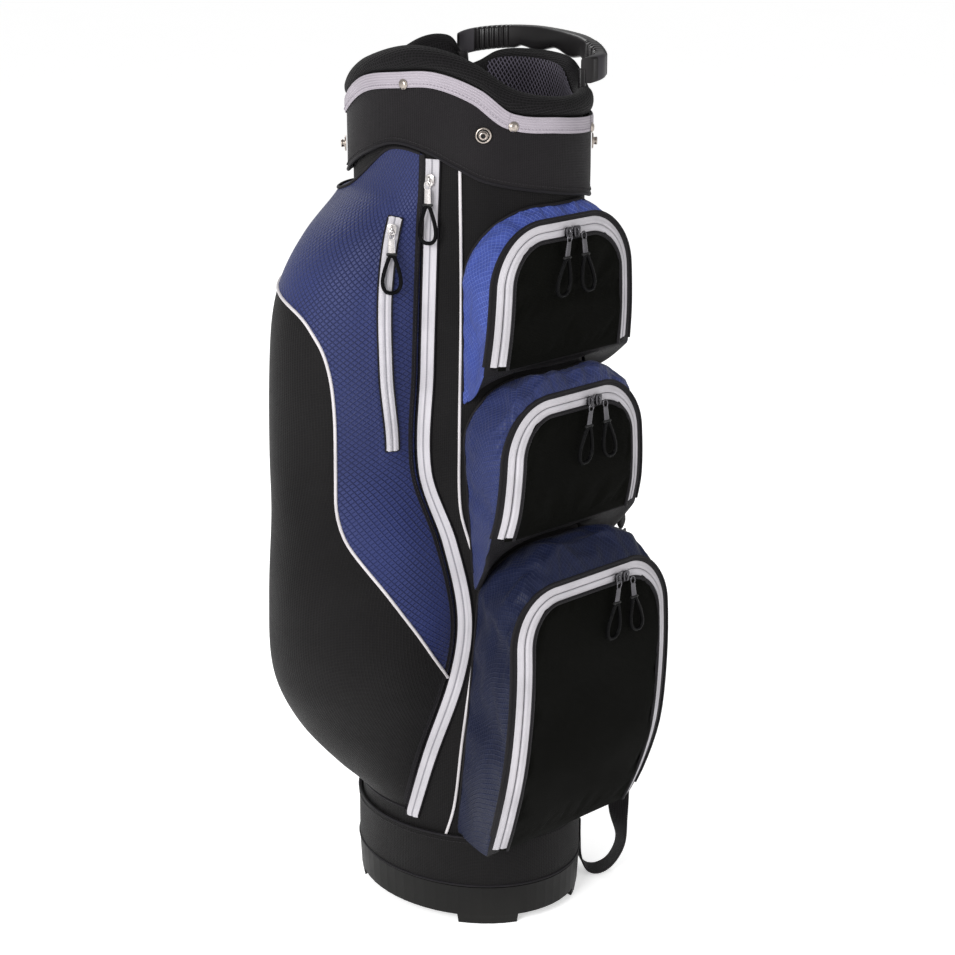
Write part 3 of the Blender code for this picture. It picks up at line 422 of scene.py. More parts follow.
def metric_uv(points, wrap):
    """Distances along rows and columns, so that a weave keeps its real size."""
    p = np.array(points, float)
    if wrap:
        p = np.concatenate([p, p[:, :1]], axis=1)
    across = np.linalg.norm(np.diff(p, axis=1), axis=2)
    u = np.concatenate([np.zeros((len(p), 1)), across.cumsum(axis=1)], axis=1)
    u -= u[:, u.shape[1] // 2][:, None]
    along = np.linalg.norm(np.diff(p, axis=0), axis=2)
    v = np.concatenate([np.zeros((1, p.shape[1])), along.cumsum(axis=0)], axis=0)
    return np.stack([u, v], axis=2)


class Shape:
    """Points, faces, UVs and material numbers gathered before they become one mesh."""

    def __init__(self):
        self.points, self.faces, self.uvs, self.kinds = [], [], [], []

    def grid(self, points, wrap=False, kind=0, caps=False):
        """A sheet through rows of points; wrap joins each row's ends, and caps close the rows."""
        first, rows, columns = len(self.points), len(points), len(points[0])
        self.points += [Vector(p) for row in points for p in row]
        uv = metric_uv(points, wrap)
        for j in range(rows - 1):
            for i in range(columns if wrap else columns - 1):
                k = (i + 1) % columns
                here, above = first + j * columns, first + (j + 1) * columns
                self.faces.append((here + i, here + k, above + k, above + i))
                self.uvs += [uv[j][i], uv[j][i + 1], uv[j + 1][i + 1], uv[j + 1][i]]
                self.kinds.append(kind(j, i) if callable(kind) else kind)
        for j in (0, rows - 1) if caps else ():
            ring = [first + j * columns + i for i in range(columns)]
            self.faces.append(tuple(ring if j else reversed(ring)))
            self.uvs += [uv[j][i] for i in range(columns)]
            self.kinds.append(kind(j, 0) if callable(kind) else kind)

    def tube(self, rows, kind=0):
        """A closed body through rings of points."""
        self.grid(rows, wrap=True, kind=kind, caps=True)

    def rope(self, path, radius, sides=10, closed=False, kind=0):
        """Round cord or piping around a path."""
        rows, up = [], None
        ahead = headings([path[-1], *path, path[0]])[1:-1] if closed else headings(path)
        for i, point in enumerate(path):
            up = ahead[i].orthogonal().normalized() if up is None else up
            up = (up - ahead[i] * up.dot(ahead[i])).normalized()
            side = ahead[i].cross(up)
            size = radius(i) if callable(radius) else radius
            rows.append([point + size * (cos(t) * up + sin(t) * side) for t in turns(sides)])
        self.grid(rows + rows[:1] * closed, wrap=True, kind=kind, caps=not closed)

    def strip(self, path, normals, profile, kind=0):
        """A profile of (across, up) carried along a path that lies square to the normals."""
        rows = []
        for point, ahead, normal in zip(path, headings(path), normals):
            side = ahead.cross(normal).normalized()
            up = side.cross(ahead).normalized()
            up *= copysign(1, up.dot(normal))
            rows.append([point + side * across + up * rise for across, rise in profile])
        self.tube(rows, kind)

    def stitch(self, path, normals, pitch=0.0034, length=0.0021, radius=0.00032, kind=1):
        """A row of short raised threads along a path."""
        travelled, target = 0.0, pitch / 2
        for here, there, normal in zip(path, path[1:], normals):
            span = (there - here).length
            while span and target <= travelled + span:
                middle = here.lerp(there, (target - travelled) / span)
                ahead = (there - here).normalized() * length / 2
                self.rope([middle + ahead * run + normal * radius * rise for run, rise in STITCH],
                          radius, 5, kind=kind)
                target += pitch
            travelled += span

    def make(self, name, looks, closed=True):
        mesh = bpy.data.meshes.new(name)
        mesh.from_pydata([tuple(p) for p in self.points], [], self.faces)
        for look in looks.split():
            mesh.materials.append(LOOKS[look])
        mesh.polygons.foreach_set("material_index", self.kinds)
        layer = mesh.uv_layers.new(name="UVMap")
        layer.data.foreach_set("uv", np.array(self.uvs, float).ravel())
        if closed:
            with edited(mesh) as shape:
                bmesh.ops.recalc_face_normals(shape, faces=shape.faces)
        mesh.shade_smooth()
        mesh.set_sharp_from_angle(angle=radians(50))
        item = bpy.data.objects.new(name, mesh)
        bpy.context.scene.collection.objects.link(item)
        return item

    def finish(self, name, looks, slot, *nodes, body="bag", closed=True, thick=0.0):
        """Make the piece, with a thickness if it is a sheet, and place it."""
        item = self.make(name, looks, closed)
        if thick:
            thicken(item, thick)
        return place_on(item, slot, *nodes, body=body)


@contextmanager
def edited(mesh):
    """A mesh opened for editing, and written back afterwards."""
    shape = bmesh.new()
    shape.from_mesh(mesh)
    yield shape
    shape.to_mesh(mesh)
    shape.free()
    mesh.update()


def tape_profile(width, thick, low=0.0, bulge=0.0, steps=12):
    """A closed outline of (across, up): a thin tape, thicker towards its middle by the bulge."""
    half = width / 2
    top = []
    for x in spaced(-half, half, steps + 1):
        edge = min((half - abs(x)) / (0.12 * width), 1.0)
        top.append((x, low + thick * (0.45 + 0.55 * edge) + bulge * cos(pi * x / width) ** 2))
    return top + [(half, low), (-half, low)]


def thicken(item, thickness, offset=-1.0):
    modifier = item.modifiers.new("thickness", "SOLIDIFY")
    modifier.thickness = thickness
    modifier.offset = offset


def refine(item):
    modifier = item.modifiers.new("smooth", "SUBSURF")
    modifier.levels = modifier.render_levels = 1


def refine_now(item):
    """One level of subdivision, kept in the mesh."""
    refine(item)
    made = bpy.data.meshes.new_from_object(item.evaluated_get(bpy.context.evaluated_depsgraph_get()))
    item.modifiers.clear()
    item.data = made


def place_on(item, slot, *nodes, body="bag"):
    """Finish a piece: what it rides on and what it stands for. The slot is not used."""
    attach(item, body)
    if nodes:
        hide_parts(*nodes)
    return item


def settle(item, sewn, swell, growth, out_cap, in_cap):
    """Let cloth buckle and swell between its sewn edges; keep the moves up to a cap.

    sewn gives each point's hold from 0 to 1 and out_cap each point's outward limit.
    """
    group = item.vertex_groups.new(name="sewn")
    for index, weight in enumerate(sewn):
        if weight > 0:
            group.add([index], weight, "REPLACE")
    cloth = item.modifiers.new("cloth", "CLOTH")
    for key, value in {**CLOTH, "shrink_min": -growth, "uniform_pressure_force": swell}.items():
        setattr(cloth.settings, key, value)
    cloth.settings.effector_weights.gravity = 0
    cloth.collision_settings.use_collision = False
    cloth.point_cache.frame_start = 1
    cloth.point_cache.frame_end = SIM_FRAMES
    scene = bpy.context.scene
    for frame in range(1, SIM_FRAMES + 1):
        scene.frame_set(frame)
    settled = item.evaluated_get(bpy.context.evaluated_depsgraph_get()).to_mesh()
    moved = [v.co.copy() for v in settled.vertices]
    normals = [v.normal.copy() for v in item.data.vertices]
    item.modifiers.remove(cloth)
    scene.frame_set(1)
    for index, vertex in enumerate(item.data.vertices):
        step = moved[index] - vertex.co
        out = step.dot(normals[index])
        along = step - out * normals[index]
        if along.length > in_cap:
            along *= in_cap / along.length
        vertex.co += along + clamp(out, -in_cap, out_cap[index]) * normals[index]
    item.data.update()


# Materials

class Paint:
    """One procedural material under construction."""

    def __init__(self, name, roughness, metallic=0.0, specular=0.5, **sockets):
        self.material = bpy.data.materials.new(name)
        self.material.use_nodes = True
        self.tree = self.material.node_tree
        self.shader = self.tree.nodes["Principled BSDF"]
        sockets.update(Roughness=roughness, Metallic=metallic, Specular_IOR_Level=specular)
        for socket, value in sockets.items():
            self.shader.inputs[socket.replace("_", " ")].default_value = value
        self.coords = self.tree.nodes.new("ShaderNodeTexCoord")

    def feed(self, socket, value):
        if hasattr(value, "is_output"):
            self.tree.links.new(value, socket)
        else:
            socket.default_value = value

    def node(self, kind, inputs, out=0, **settings):
        """Add a node, feed its inputs and give one of its outputs."""
        made = self.tree.nodes.new("ShaderNode" + kind)
        for key, value in settings.items():
            setattr(made, key, value)
        for socket, value in inputs.items():
            self.feed(made.inputs[socket], value)
        return made.outputs[out]

    def math(self, operation, a, b=0.0):
        return self.node("Math", {0: a, 1: b}, operation=operation)

    def times(self, a, b):
        return self.math("MULTIPLY", a, b)

    def noise(self, scale, detail=3.0, stretch=(1, 1, 1)):
        place = self.node("Mapping", {"Scale": stretch, "Vector": self.coords.outputs["Object"]})
        return self.node("TexNoise", {"Scale": scale, "Detail": detail, "Vector": place}, "Fac")

    def threads(self, pitch, turn, thin):
        """1 on a lattice of threads and 0 between them; pitch is across and along in metres."""
        place = self.node("Mapping", {"Scale": (1 / pitch[0], 1 / pitch[1], 1),
                                      "Rotation": (0, 0, radians(turn)),
                                      "Vector": self.coords.outputs["UV"]})
        split = self.node("SeparateXYZ", {0: place}).node
        return [self.ramp(self.math("PINGPONG", axis, 0.5), thin, 0.0) for axis in split.outputs[:2]]

    def ramp(self, value, start, end, low=0.0, high=1.0):
        return self.node("MapRange", {"Value": value, "From Min": start, "From Max": end,
                                      "To Min": low, "To Max": high}, interpolation_type="SMOOTHSTEP")

    def mix(self, share, a, b):
        a, b = (c if hasattr(c, "is_output") else (*c, 1.0) for c in (a, b))
        return self.node("Mix", {0: share, 6: a, 7: b}, 2, data_type="RGBA")

    def uneven(self, share, colour, low, high):
        """A colour that goes from a darker to a paler shade with the share."""
        return self.mix(share, [c * low for c in colour], [c * high for c in colour])

    def shade(self, colour, height, depth, rough=None):
        """Link the colour, the bump and the roughness to the shader."""
        self.feed(self.shader.inputs["Base Color"], colour)
        bump = self.node("Bump", {"Distance": depth, "Strength": 1.0, "Height": height})
        self.feed(self.shader.inputs["Normal"], bump)
        if rough is not None:
            self.feed(self.shader.inputs["Roughness"], rough)
        return self.material


def ripstop(name, dark, light, pitch, turn, thin, contrast, depth, rough=0.62, sheen=0.04,
            specular=0.12):
    """Cloth with a raised lattice of thicker threads, shown more strongly in random patches as a painted
    sheen, over a ground colour that varies at random.
    """
    paint = Paint(name, rough, specular=specular, Sheen_Weight=sheen, Sheen_Roughness=0.4)
    lattice = paint.math("MAXIMUM", *paint.threads(pitch, turn, thin))
    # patches: painted sheen, the places where the lattice of threads shows more strongly
    patches = paint.ramp(paint.noise(14, 4), 0.38, 0.66, 0.55, 1.0)
    shown = paint.times(paint.times(lattice, patches), contrast)
    ground = paint.uneven(paint.ramp(paint.noise(5, 5), 0.35, 0.7), dark, 0.86, 1.16)
    grain = paint.math("ADD", lattice, paint.times(paint.noise(1800, 2), 0.35))
    return paint.shade(paint.mix(shown, ground, light), grain, depth,
                       paint.ramp(paint.noise(9, 4), 0.3, 0.7, rough - 0.08, rough + 0.08))


def plain_weave(name, dark, light, pitch, depth, rough=0.75, sheen=0.04, contrast=0.6,
                specular=0.12):
    """Tightly woven cloth or tape: ridges across, finer threads along."""
    paint = Paint(name, rough, specular=specular, Sheen_Weight=sheen, Sheen_Roughness=0.5)
    first, second = paint.threads(pitch, 0, 0.5)
    ridges = paint.times(first, paint.math("ADD", paint.times(second, 0.5), 0.5))
    ground = paint.uneven(paint.ramp(paint.noise(22, 4), 0.3, 0.7), dark, 0.88, 1.12)
    return paint.shade(paint.mix(paint.times(ridges, contrast), ground, light), ridges, depth,
                       paint.ramp(paint.noise(30, 3), 0.3, 0.7, rough - 0.06, rough + 0.06))


def moulded(name, dark, light, rough, grain, depth, coat=0.0):
    """Moulded plastic: fine grain, uneven gloss and a paler colour on sharply convex edges."""
    paint = Paint(name, rough, specular=0.2, Coat_Weight=coat, Coat_Roughness=0.2)
    broad = paint.noise(16, 4)
    # paler wherever the surface is sharply convex, read from its pointiness
    convex_edges = paint.ramp(paint.node("NewGeometry", {}, "Pointiness"), 0.52, 0.60)
    ground = paint.uneven(paint.ramp(broad, 0.3, 0.7), dark, 0.85, 1.15)
    return paint.shade(paint.mix(paint.times(convex_edges, 0.6), ground, light), paint.noise(grain, 3), depth,
                       paint.ramp(broad, 0.3, 0.7, rough - 0.06, rough + 0.08))


def metal(name, colour, rough, scratch=(1, 1, 8)):
    paint = Paint(name, rough, metallic=1.0)
    lines = paint.noise(260, 4, scratch)
    stain = paint.ramp(paint.noise(60, 4), 0.35, 0.75)
    return paint.shade(paint.uneven(stain, colour, 1, 0.72), lines, 0.00004,
                       paint.ramp(lines, 0.3, 0.7, rough - 0.08, rough + 0.12))


def mesh_cloth(name, dark, light, pitch, turn, thin, contrast, depth):
    """Spacer mesh: raised ribs one way with cross threads, dark holes between them."""
    paint = Paint(name, 0.8, specular=0.1, Sheen_Weight=0.03, Sheen_Roughness=0.5)
    first, second = paint.threads(pitch, turn, thin)
    net = paint.math("MAXIMUM", first, paint.times(second, 0.6))
    patches = paint.ramp(paint.noise(18, 3), 0.3, 0.7, 0.7, 1.0)
    return paint.shade(paint.mix(paint.times(paint.times(net, contrast), patches), dark, light), net, depth)


def make_materials():
    LOOKS.update({
        "navy": ripstop("navy_ripstop", (0.0160, 0.0230, 0.0900), (0.0052, 0.0075, 0.0350), (0.0033, 0.0040),
                        45, 0.20, 0.85, 0.0005, 0.5, 0.06, 0.22),
        "navy_front": ripstop("navy_front_ripstop", (0.0140, 0.0215, 0.0820), (0.0320, 0.0470, 0.1750),
                              (0.0035, 0.0041), 45, 0.17, 0.6, 0.0005, 0.45, 0.06, 0.25),
        "navy_deep": ripstop("navy_deep_ripstop", (0.0050, 0.0076, 0.0260), (0.0105, 0.0160, 0.0520),
                             (0.0035, 0.0041), 45, 0.17, 0.6, 0.0004, 0.5, 0.03, 0.15),
        "royal": ripstop("royal_ripstop", (0.0300, 0.0490, 0.2150), (0.1000, 0.1550, 0.5000),
                         (0.0037, 0.0043), 45, 0.15, 0.7, 0.0005, 0.45, 0.06, 0.25),
        "black": ripstop("black_ripstop", (0.0036, 0.0032, 0.0034), (0.0102, 0.0090, 0.0094),
                         (0.0022, 0.0016), 0, 0.2, 0.7, 0.0003, 0.68),
        "collar": ripstop("collar_ripstop", (0.0070, 0.0061, 0.0069), (0.0178, 0.0155, 0.0176),
                          (0.0022, 0.0015), 0, 0.22, 0.7, 0.0003, 0.66),
        "flap": ripstop("flap_cloth", (0.0019, 0.0020, 0.0015), (0.0046, 0.0046, 0.0036),
                        (0.0016, 0.0016), 0, 0.25, 0.5, 0.0002, 0.8, 0.01, 0.03),
        "binding": plain_weave("black_binding", (0.0050, 0.0045, 0.0055), (0.014, 0.012, 0.015),
                               (0.0014, 0.0011), 0.0002, 0.6, 0.02),
        "rim": mesh_cloth("air_mesh", (0.0022, 0.0021, 0.0022), (0.0125, 0.0110, 0.0125),
                          (0.0026, 0.0034), 12, 0.32, 0.9, 0.0007),
        # sleeve: the pale purple threads are partly their own colour and partly a painted lift, made
        # brighter to offset the shade inside the tube
        "sleeve": mesh_cloth("inner_mesh", (0.004, 0.0036, 0.0048), (0.170, 0.152, 0.200),
                             (0.0034, 0.0046), 38, 0.24, 0.85, 0.0006),
        "lining": plain_weave("brushed_lining", (0.012, 0.011, 0.013), (0.026, 0.023, 0.028),
                              (0.0015, 0.0015), 0.0002, 0.85, 0.1),
        "trim": plain_weave("white_webbing", (0.27, 0.245, 0.275), (0.365, 0.33, 0.37),
                            (0.0024, 0.0018), 0.0004, 0.65, 0.1, 0.8),
        "tape": plain_weave("zip_tape", (0.40, 0.385, 0.41), (0.49, 0.475, 0.50),
                            (0.0012, 0.0016), 0.0002, 0.55, 0.1, 0.7),
        "coil": plain_weave("zip_coil_line", (0.16, 0.155, 0.17), (0.36, 0.35, 0.38),
                            (0.0008, 0.0016), 0.0002, 0.5, 0.1, 0.9),
        "white_piping": plain_weave("white_piping", (0.47, 0.445, 0.455), (0.56, 0.535, 0.545),
                                    (0.0012, 0.0012), 0.0002, 0.6, 0.1, 0.7),
        "stitch": plain_weave("sewing_thread", (0.016, 0.015, 0.016), (0.04, 0.036, 0.04),
                              (0.0006, 0.0006), 0.0001, 0.7),
        "pale_stitch": plain_weave("pale_thread", (0.20, 0.18, 0.21), (0.33, 0.30, 0.34),
                                   (0.0006, 0.0006), 0.0001, 0.7),
        "webbing": plain_weave("strap_webbing", (0.0075, 0.0068, 0.0075), (0.022, 0.020, 0.022),
                               (0.0021, 0.0026), 0.0004, 0.7, 0.04, 0.9),
        "cord": plain_weave("pull_cord", (0.0014, 0.0014, 0.0016), (0.0045, 0.0045, 0.0050),
                            (0.0010, 0.0010), 0.0002, 0.25, 0.0, 0.6, 0.05),
        "base": moulded("base_plastic", (0.0026, 0.0024, 0.0021), (0.0080, 0.0074, 0.0065), 0.55, 900,
                        0.00012),
        "handle": moulded("handle_plastic", (0.0060, 0.0052, 0.0056), (0.018, 0.016, 0.017), 0.33, 1200,
                          0.00005, 0.15),
        "satin": moulded("handle_satin", (0.030, 0.028, 0.032), (0.06, 0.056, 0.06), 0.42, 1500, 0.00004),
        "nickel": metal("nickel", (0.42, 0.37, 0.33), 0.27),
        "bright": metal("bright_nickel", (0.60, 0.57, 0.56), 0.22),
        "gunmetal": metal("gunmetal", (0.10, 0.097, 0.105), 0.25),
        "steel": metal("rod_steel", (0.45, 0.43, 0.41), 0.30, (8, 8, 0.5)),
        "core": moulded("stud_core", (0.004, 0.004, 0.004), (0.015, 0.015, 0.015), 0.4, 800, 0.00003),
    })


# Tube, cuff, collar and rim

def hoop_grid(rows, columns, low, high, offset):
    """Rows of points around the tube between two heights; offset takes (angle, share up)."""
    angles = [-180 + 360 * i / columns for i in range(columns)]
    return [[on_bag(a, low(a) + (high(a) - low(a)) * j / rows, offset(a, j / rows)) for a in angles]
            for j in range(rows + 1)]


def hoop_path(height, offset, columns=240):
    angles = [-180 + 360 * i / columns for i in range(columns)]
    return [on_bag(a, height(a), offset) for a in angles], [outward(a) for a in angles]


def hoop_cloth(name, look, node, thick, *grid):
    shape = Shape()
    shape.grid(hoop_grid(*grid), wrap=True)
    shape.finish(name, look, "black_ripstop", node, closed=False, thick=thick)


def cuff_floor(angle):
    return BASE_STEP + 2 * GAP


def make_tube():
    def creased(angle, share):
        here = on_bag(angle, 0.05 + 0.75 * share)
        folds = wobble((here.x, here.y, here.z * 0.35), 0.035)
        ripples = wobble((here.x, here.y, here.z * 0.6), 0.012, 3.0)
        return -0.0009 + 0.0006 * folds + 0.0002 * ripples

    hoop_cloth("tube_cloth", "black", "tube_cover", 0.0018,
               100, 200, cuff_floor, lambda a: trim_low(a) - 0.002, creased)
    shape = Shape()
    for side, _ in SIDES:
        heights = spaced(TUBE_PIPING[0][0], TUBE_PIPING[-1][0], 161)
        shape.rope([on_bag(side * smooth_table(TUBE_PIPING, h), h, 0.0008) for h in heights], 0.0015)
    shape.finish("tube_piping", "white_piping", "white_webbing")

    shape = Shape()
    seam = [on_bag(180, h, 0.0005) for h in spaced(0.10, 0.742, 130)]
    faces = [outward(180)] * len(seam)
    shape.strip(seam, faces, tape_profile(0.022, 0.0007))
    for across in (-0.0085, 0.0085):
        shape.stitch([p + Vector((across, 0.0006, 0)) for p in seam], faces)
    shape.finish("back_seam", "binding pale_stitch", "black_ripstop")

    def cuffed(angle, share):
        here = on_bag(angle, 0.07)
        return CUFF_FACE - 0.0003 + 0.0003 * wobble((here.x, here.y, share * 0.08), 0.03, 5.0)

    hoop_cloth("base_cuff_cloth", "black", "base_cuff", 0.0026,
               14, 200, cuff_floor, lambda a: CUFF_TOP, cuffed)
    shape = Shape()
    for height, size in ((CUFF_TOP - 0.0005, 0.0013), (BASE_STEP + 0.0022, 0.0014)):
        shape.rope(hoop_path(lambda a: height, CUFF_FACE - 0.0004)[0], size, closed=True)
    shape.stitch(*hoop_path(lambda a: CUFF_TOP - 0.006, CUFF_FACE + 0.0001))
    shape.finish("cuff_binding", "binding stitch", "black_ripstop")


def make_collar():
    def wavy(angle, share):
        here = on_bag(angle, 0.8)
        return COLLAR_OFFSET - 0.0004 + 0.0004 * wobble((here.x, here.y, share * 0.07), 0.03, 7.0)

    hoop_cloth("collar_cloth", "collar", "collar", 0.0026,
               22, 220, collar_low, lambda a: trim_top(a) - 0.0004, wavy)
    shape = Shape()
    shape.rope(hoop_path(lambda a: collar_low(a) + 0.0006, COLLAR_OFFSET - 0.0010)[0], 0.0017, closed=True)
    shape.stitch(*hoop_path(lambda a: collar_low(a) + 0.0050, COLLAR_OFFSET + 0.0001))
    shape.finish("collar_piping", "binding stitch", "black_ripstop")

    # The white webbing is sewn on in lengths that overlap at the rivets
    shape = Shape()
    joints = sorted(RIVET_ANGLES)
    for start, end in zip(joints, joints[1:] + [joints[0] + 360]):
        first, last = start - 2.2, end + 1.2
        path, faces = [], []
        for angle in spaced(first, last, int((last - first) / 1.2) + 1):
            rise = 0.0006 * max(1 - abs(angle - first) / 5, 0.0)
            path.append(on_bag(angle, trim_low(angle) + TRIM_HEIGHT / 2, COLLAR_OFFSET + GAP + rise))
            faces.append(outward(angle))
        shape.strip(path, faces, tape_profile(TRIM_HEIGHT + 0.0006, 0.0013, steps=10))
        line = [p + Vector((0, 0, -0.0042)) + f * 0.0014 for p, f in zip(path, faces)]
        shape.stitch(line, faces, pitch=0.0036, length=0.0016)
    shape.finish("trim_webbing", "trim pale_stitch", "white_webbing", "trim_band")


def make_rim():
    rows = []
    for i in range(300):
        angle = -180 + 360 * i / 300
        low, high = trim_top(angle) + GAP, crest_height(angle)
        middle, half = (low + high) / 2, (high - low) / 2
        row = []
        for turn in turns(26):
            full = 1 - 0.05 * (1 - abs(sin(turn))) * (1 + wobble(on_bag(angle, middle), 0.05, 2.0))
            row.append(on_bag(angle, middle + half * sin(turn), PAD_MIDDLE + PAD_HALF * cos(turn) * full))
        rows.append(row)
    # Columns run round the roll, so that the ribs stand upright
    shape = Shape()
    shape.grid(rows + rows[:1], wrap=True)
    rim = shape.make("rim_roll", "rim")
    refine(rim)
    place_on(rim, "air_mesh", "rim_pad")

    def inside(angle, share):
        here = on_bag(angle, 0.8)
        ripple = 0.0004 * wobble((here.x, here.y, share * 0.8), 0.04, 9.0)
        return -0.0112 + 0.0005 * (share < 0.9) - 0.0022 * max(share - 0.88, 0.0) / 0.12 + ripple

    shape = Shape()
    shape.grid(hoop_grid(60, 200, lambda a: BASE_TOP + 0.001, lambda a: crest_height(a) - 0.0075, inside),
               wrap=True, kind=lambda j, i: 1 if j < 38 else 2 if i > 165 or i < 20 else 0)
    sleeve = shape.make("inner_sleeve", "sleeve lining rim", closed=False)
    thicken(sleeve, 0.0006, 1.0)
    place_on(sleeve, "lining", "tube_liner")


def make_dividers():
    spine, cross = TUBE_HALF_Y - SPINE_CLEAR, TUBE_HALF_X - CROSS_CLEAR
    runs = (("divider_spine", (0, -spine), (0, spine), 0.0),
            ("divider_front", (-cross, -CROSS_PANEL_Y), (cross, -CROSS_PANEL_Y), 0.0006),
            ("divider_back", (-cross, CROSS_PANEL_Y), (cross, CROSS_PANEL_Y), 0.0006))
    half, bend = DIVIDER_THICK / 2 - 0.0003, 0.0041
    for number, (node, start, end, lift) in enumerate(runs):
        start, end = (Vector((x, AXIS_Y + y, 0)) for x, y in (start, end))
        across = (end - start).normalized().cross(UP)
        rows = []
        for i in range(61):
            along = start.lerp(end, i / 60)
            top = DIVIDER_TOP - 0.0035 * sin(pi * i / 60) + lift
            ripple = 0.0003 * wobble(along, 0.02, number)
            places = [(half + ripple, h) for h in spaced(DIVIDER_LOW, top - 0.0085, 24)]
            places += [(bend * cos(t), top - bend + bend * sin(t)) for t in spaced(0, pi, 9)]
            places += [(ripple - half, h) for h in spaced(top - 0.0085, DIVIDER_LOW, 24)]
            rows.append([along + across * x + UP * h for x, h in places])
        shape = Shape()
        shape.tube(rows, kind=lambda j, i: 1 if 23 <= i <= 32 else 0)
        panel = shape.finish(node + "_fleece", "lining binding", "lining", node)


# Handle and metal

def rounded_section(angle, low, top, inner, outer, corner):
    """A rectangle with round corners across the grip, as points from the lower inner corner."""
    points = []
    for first, cx, cz in ((180, inner + corner, low + corner), (270, outer - corner, low + corner),
                          (0, outer - corner, top - corner), (90, inner + corner, top - corner)):
        for turn in spaced(radians(first), radians(first + 90), 5):
            points.append(on_bag(angle, cz + corner * sin(turn), cx + corner * cos(turn)))
    return points


def make_handle():
    centre, reach = (HANDLE_FROM + HANDLE_TO) / 2, (HANDLE_TO - HANDLE_FROM) / 2
    half = HANDLE_THICK / 2
    rows, zones = [], []
    for angle in spaced(HANDLE_FROM, HANDLE_TO, 361):
        aside = abs(angle - centre)
        ends = (aside / reach) ** 12
        offset = HANDLE_OFFSET * (1 - ends)
        top = smooth_table(HANDLE_LINE, angle) - HANDLE_CORNER * ends
        rib = 0.0
        if RIBS_FROM < aside < RIBS_TO:
            beat = cos(2 * pi * (aside - RIBS_FROM) / (RIBS_TO - RIBS_FROM) * 7)
            rib = RIB_HEIGHT * (clamp(-2.2 * beat, -1.0) - 0.2)
        wave = WAVE_HEIGHT * cos(radians(angle - centre) * 18) * clamp((WAVES_TO - aside) / 3)
        low = top - HANDLE_HEIGHT + HANDLE_ARCH * (1 - aside / reach) + wave
        rows.append(rounded_section(angle, low, top, offset - half - rib, offset + half + rib, 0.0030))
        zones.append(aside)
    shape = Shape()
    shape.tube(rows, kind=lambda j, i: 1 if 40.5 < zones[j] < 47 else 0)
    wide, deep, tall = POST_SIZE
    for angle in (HANDLE_FROM + POST_TURN, HANDLE_TO - POST_TURN):
        low, out = trim_top(angle) - POST_BELOW_TRIM, outward(angle)
        rows = []
        for share in spaced(0, 1, 13):
            middle = on_bag(angle, low + tall * share, POST_OFFSET)
            across = UP.cross(out) * (wide / 2 + 0.0016 * sin(pi * share))
            rows.append([middle + across * blunt(cos(t), 0.45) + out * blunt(sin(t), 0.45) * deep / 2
                         for t in turns(20, 0.5)])
        shape.tube(rows)
    shape.finish("grip", "handle satin", "handle_plastic", "carry_handle")


def add_turned(shape, profile, centre, direction, kind=0):
    """Rings of points for a profile of (radius, height), standing on a point."""
    side = direction.orthogonal().normalized()
    other = direction.cross(side)
    shape.tube([[centre + direction * height + max(radius, 0.00002) * (cos(t) * side + sin(t) * other)
                 for t in turns(28)] for radius, height in profile], kind)


def make_metal():
    shape = Shape()
    for angle in RIVET_ANGLES:
        place = on_bag(angle, trim_low(angle) + 0.003, COLLAR_OFFSET + GAP + 0.0016)
        add_turned(shape, RIVET_DOME, place, outward(angle))
    nodes = ["trim_rivet_%d" % n for n in range(1, len(RIVET_ANGLES) + 1)]
    shape.finish("rivets", "nickel", "nickel", *nodes)
    shape = Shape()
    for angle, height in HOOD_STUDS:
        add_turned(shape, STUD, on_bag(angle, height, COLLAR_OFFSET + GAP), outward(angle),
                   lambda j, i: 1 if j >= 14 or 4 <= j <= 6 else 0)
    nodes = ["hood_stud_%d" % n for n in range(1, len(HOOD_STUDS) + 1)]
    shape.finish("snap_studs", "nickel core", "nickel", *nodes)


# Zips

def add_zip(shape, path, normals, width):
    """A closed zip: two cloth tapes over a coil, with the thin line where they meet."""
    half, slit, thick = width / 2, 0.00035, 0.0007
    for sign in (-1, 1):
        profile = []
        for x in spaced(slit, half, 13):
            swell = 0.0008 * exp(-((x - 0.0028) / 0.0018) ** 2)
            edge = min((half - x) / 0.001, 1.0)
            profile.append((sign * x, thick * (0.4 + 0.6 * edge) + swell))
        shape.strip(path, normals, profile + [(sign * half, 0.0), (sign * slit, 0.0)])
    shape.strip(path, normals, [(-0.0014, 0), (-0.0008, 0.0010), (0.0008, 0.0010), (0.0014, 0)], 1)


def make_side_zips():
    for side, word in SIDES:
        heights = spaced(zip_top(side), ZIP_FLOOR, 201)
        angles = [side * smooth_table(ZIP_LINE, h) for h in heights]
        path = [on_bag(a, h, GAP) for a, h in zip(angles, heights)]
        normals = [outward(a) for a in angles]
        shape = Shape()
        add_zip(shape, path, normals, ZIP_WIDTH)
        for across in (-0.0078, 0.0078):
            shape.rope(shifted(path, normals, across), 0.0009, kind=2, sides=8)
        shape.finish("long_zip_" + word, "tape coil binding", "zip_tape", "garment_zip_" + word)
    path, normals = zip(*(pocket_face(-1, SHORT_ZIP_ANGLE, h, SHORT_ZIP_LIFT - ZIP_THICK / 2)
                          for h in spaced(*SHORT_ZIP, 91)))
    shape = Shape()
    add_zip(shape, path, normals, ZIP_WIDTH - 0.001)
    one, other = (shifted(path, normals, sign * ZIP_WIDTH / 2, 0.0002) for sign in (1, -1))
    shape.rope(one + other[::-1], 0.0009, closed=True, kind=2, sides=8)
    shape.finish("short_zip", "tape coil binding", "zip_tape", "valuables_zip_left")


# Side pockets

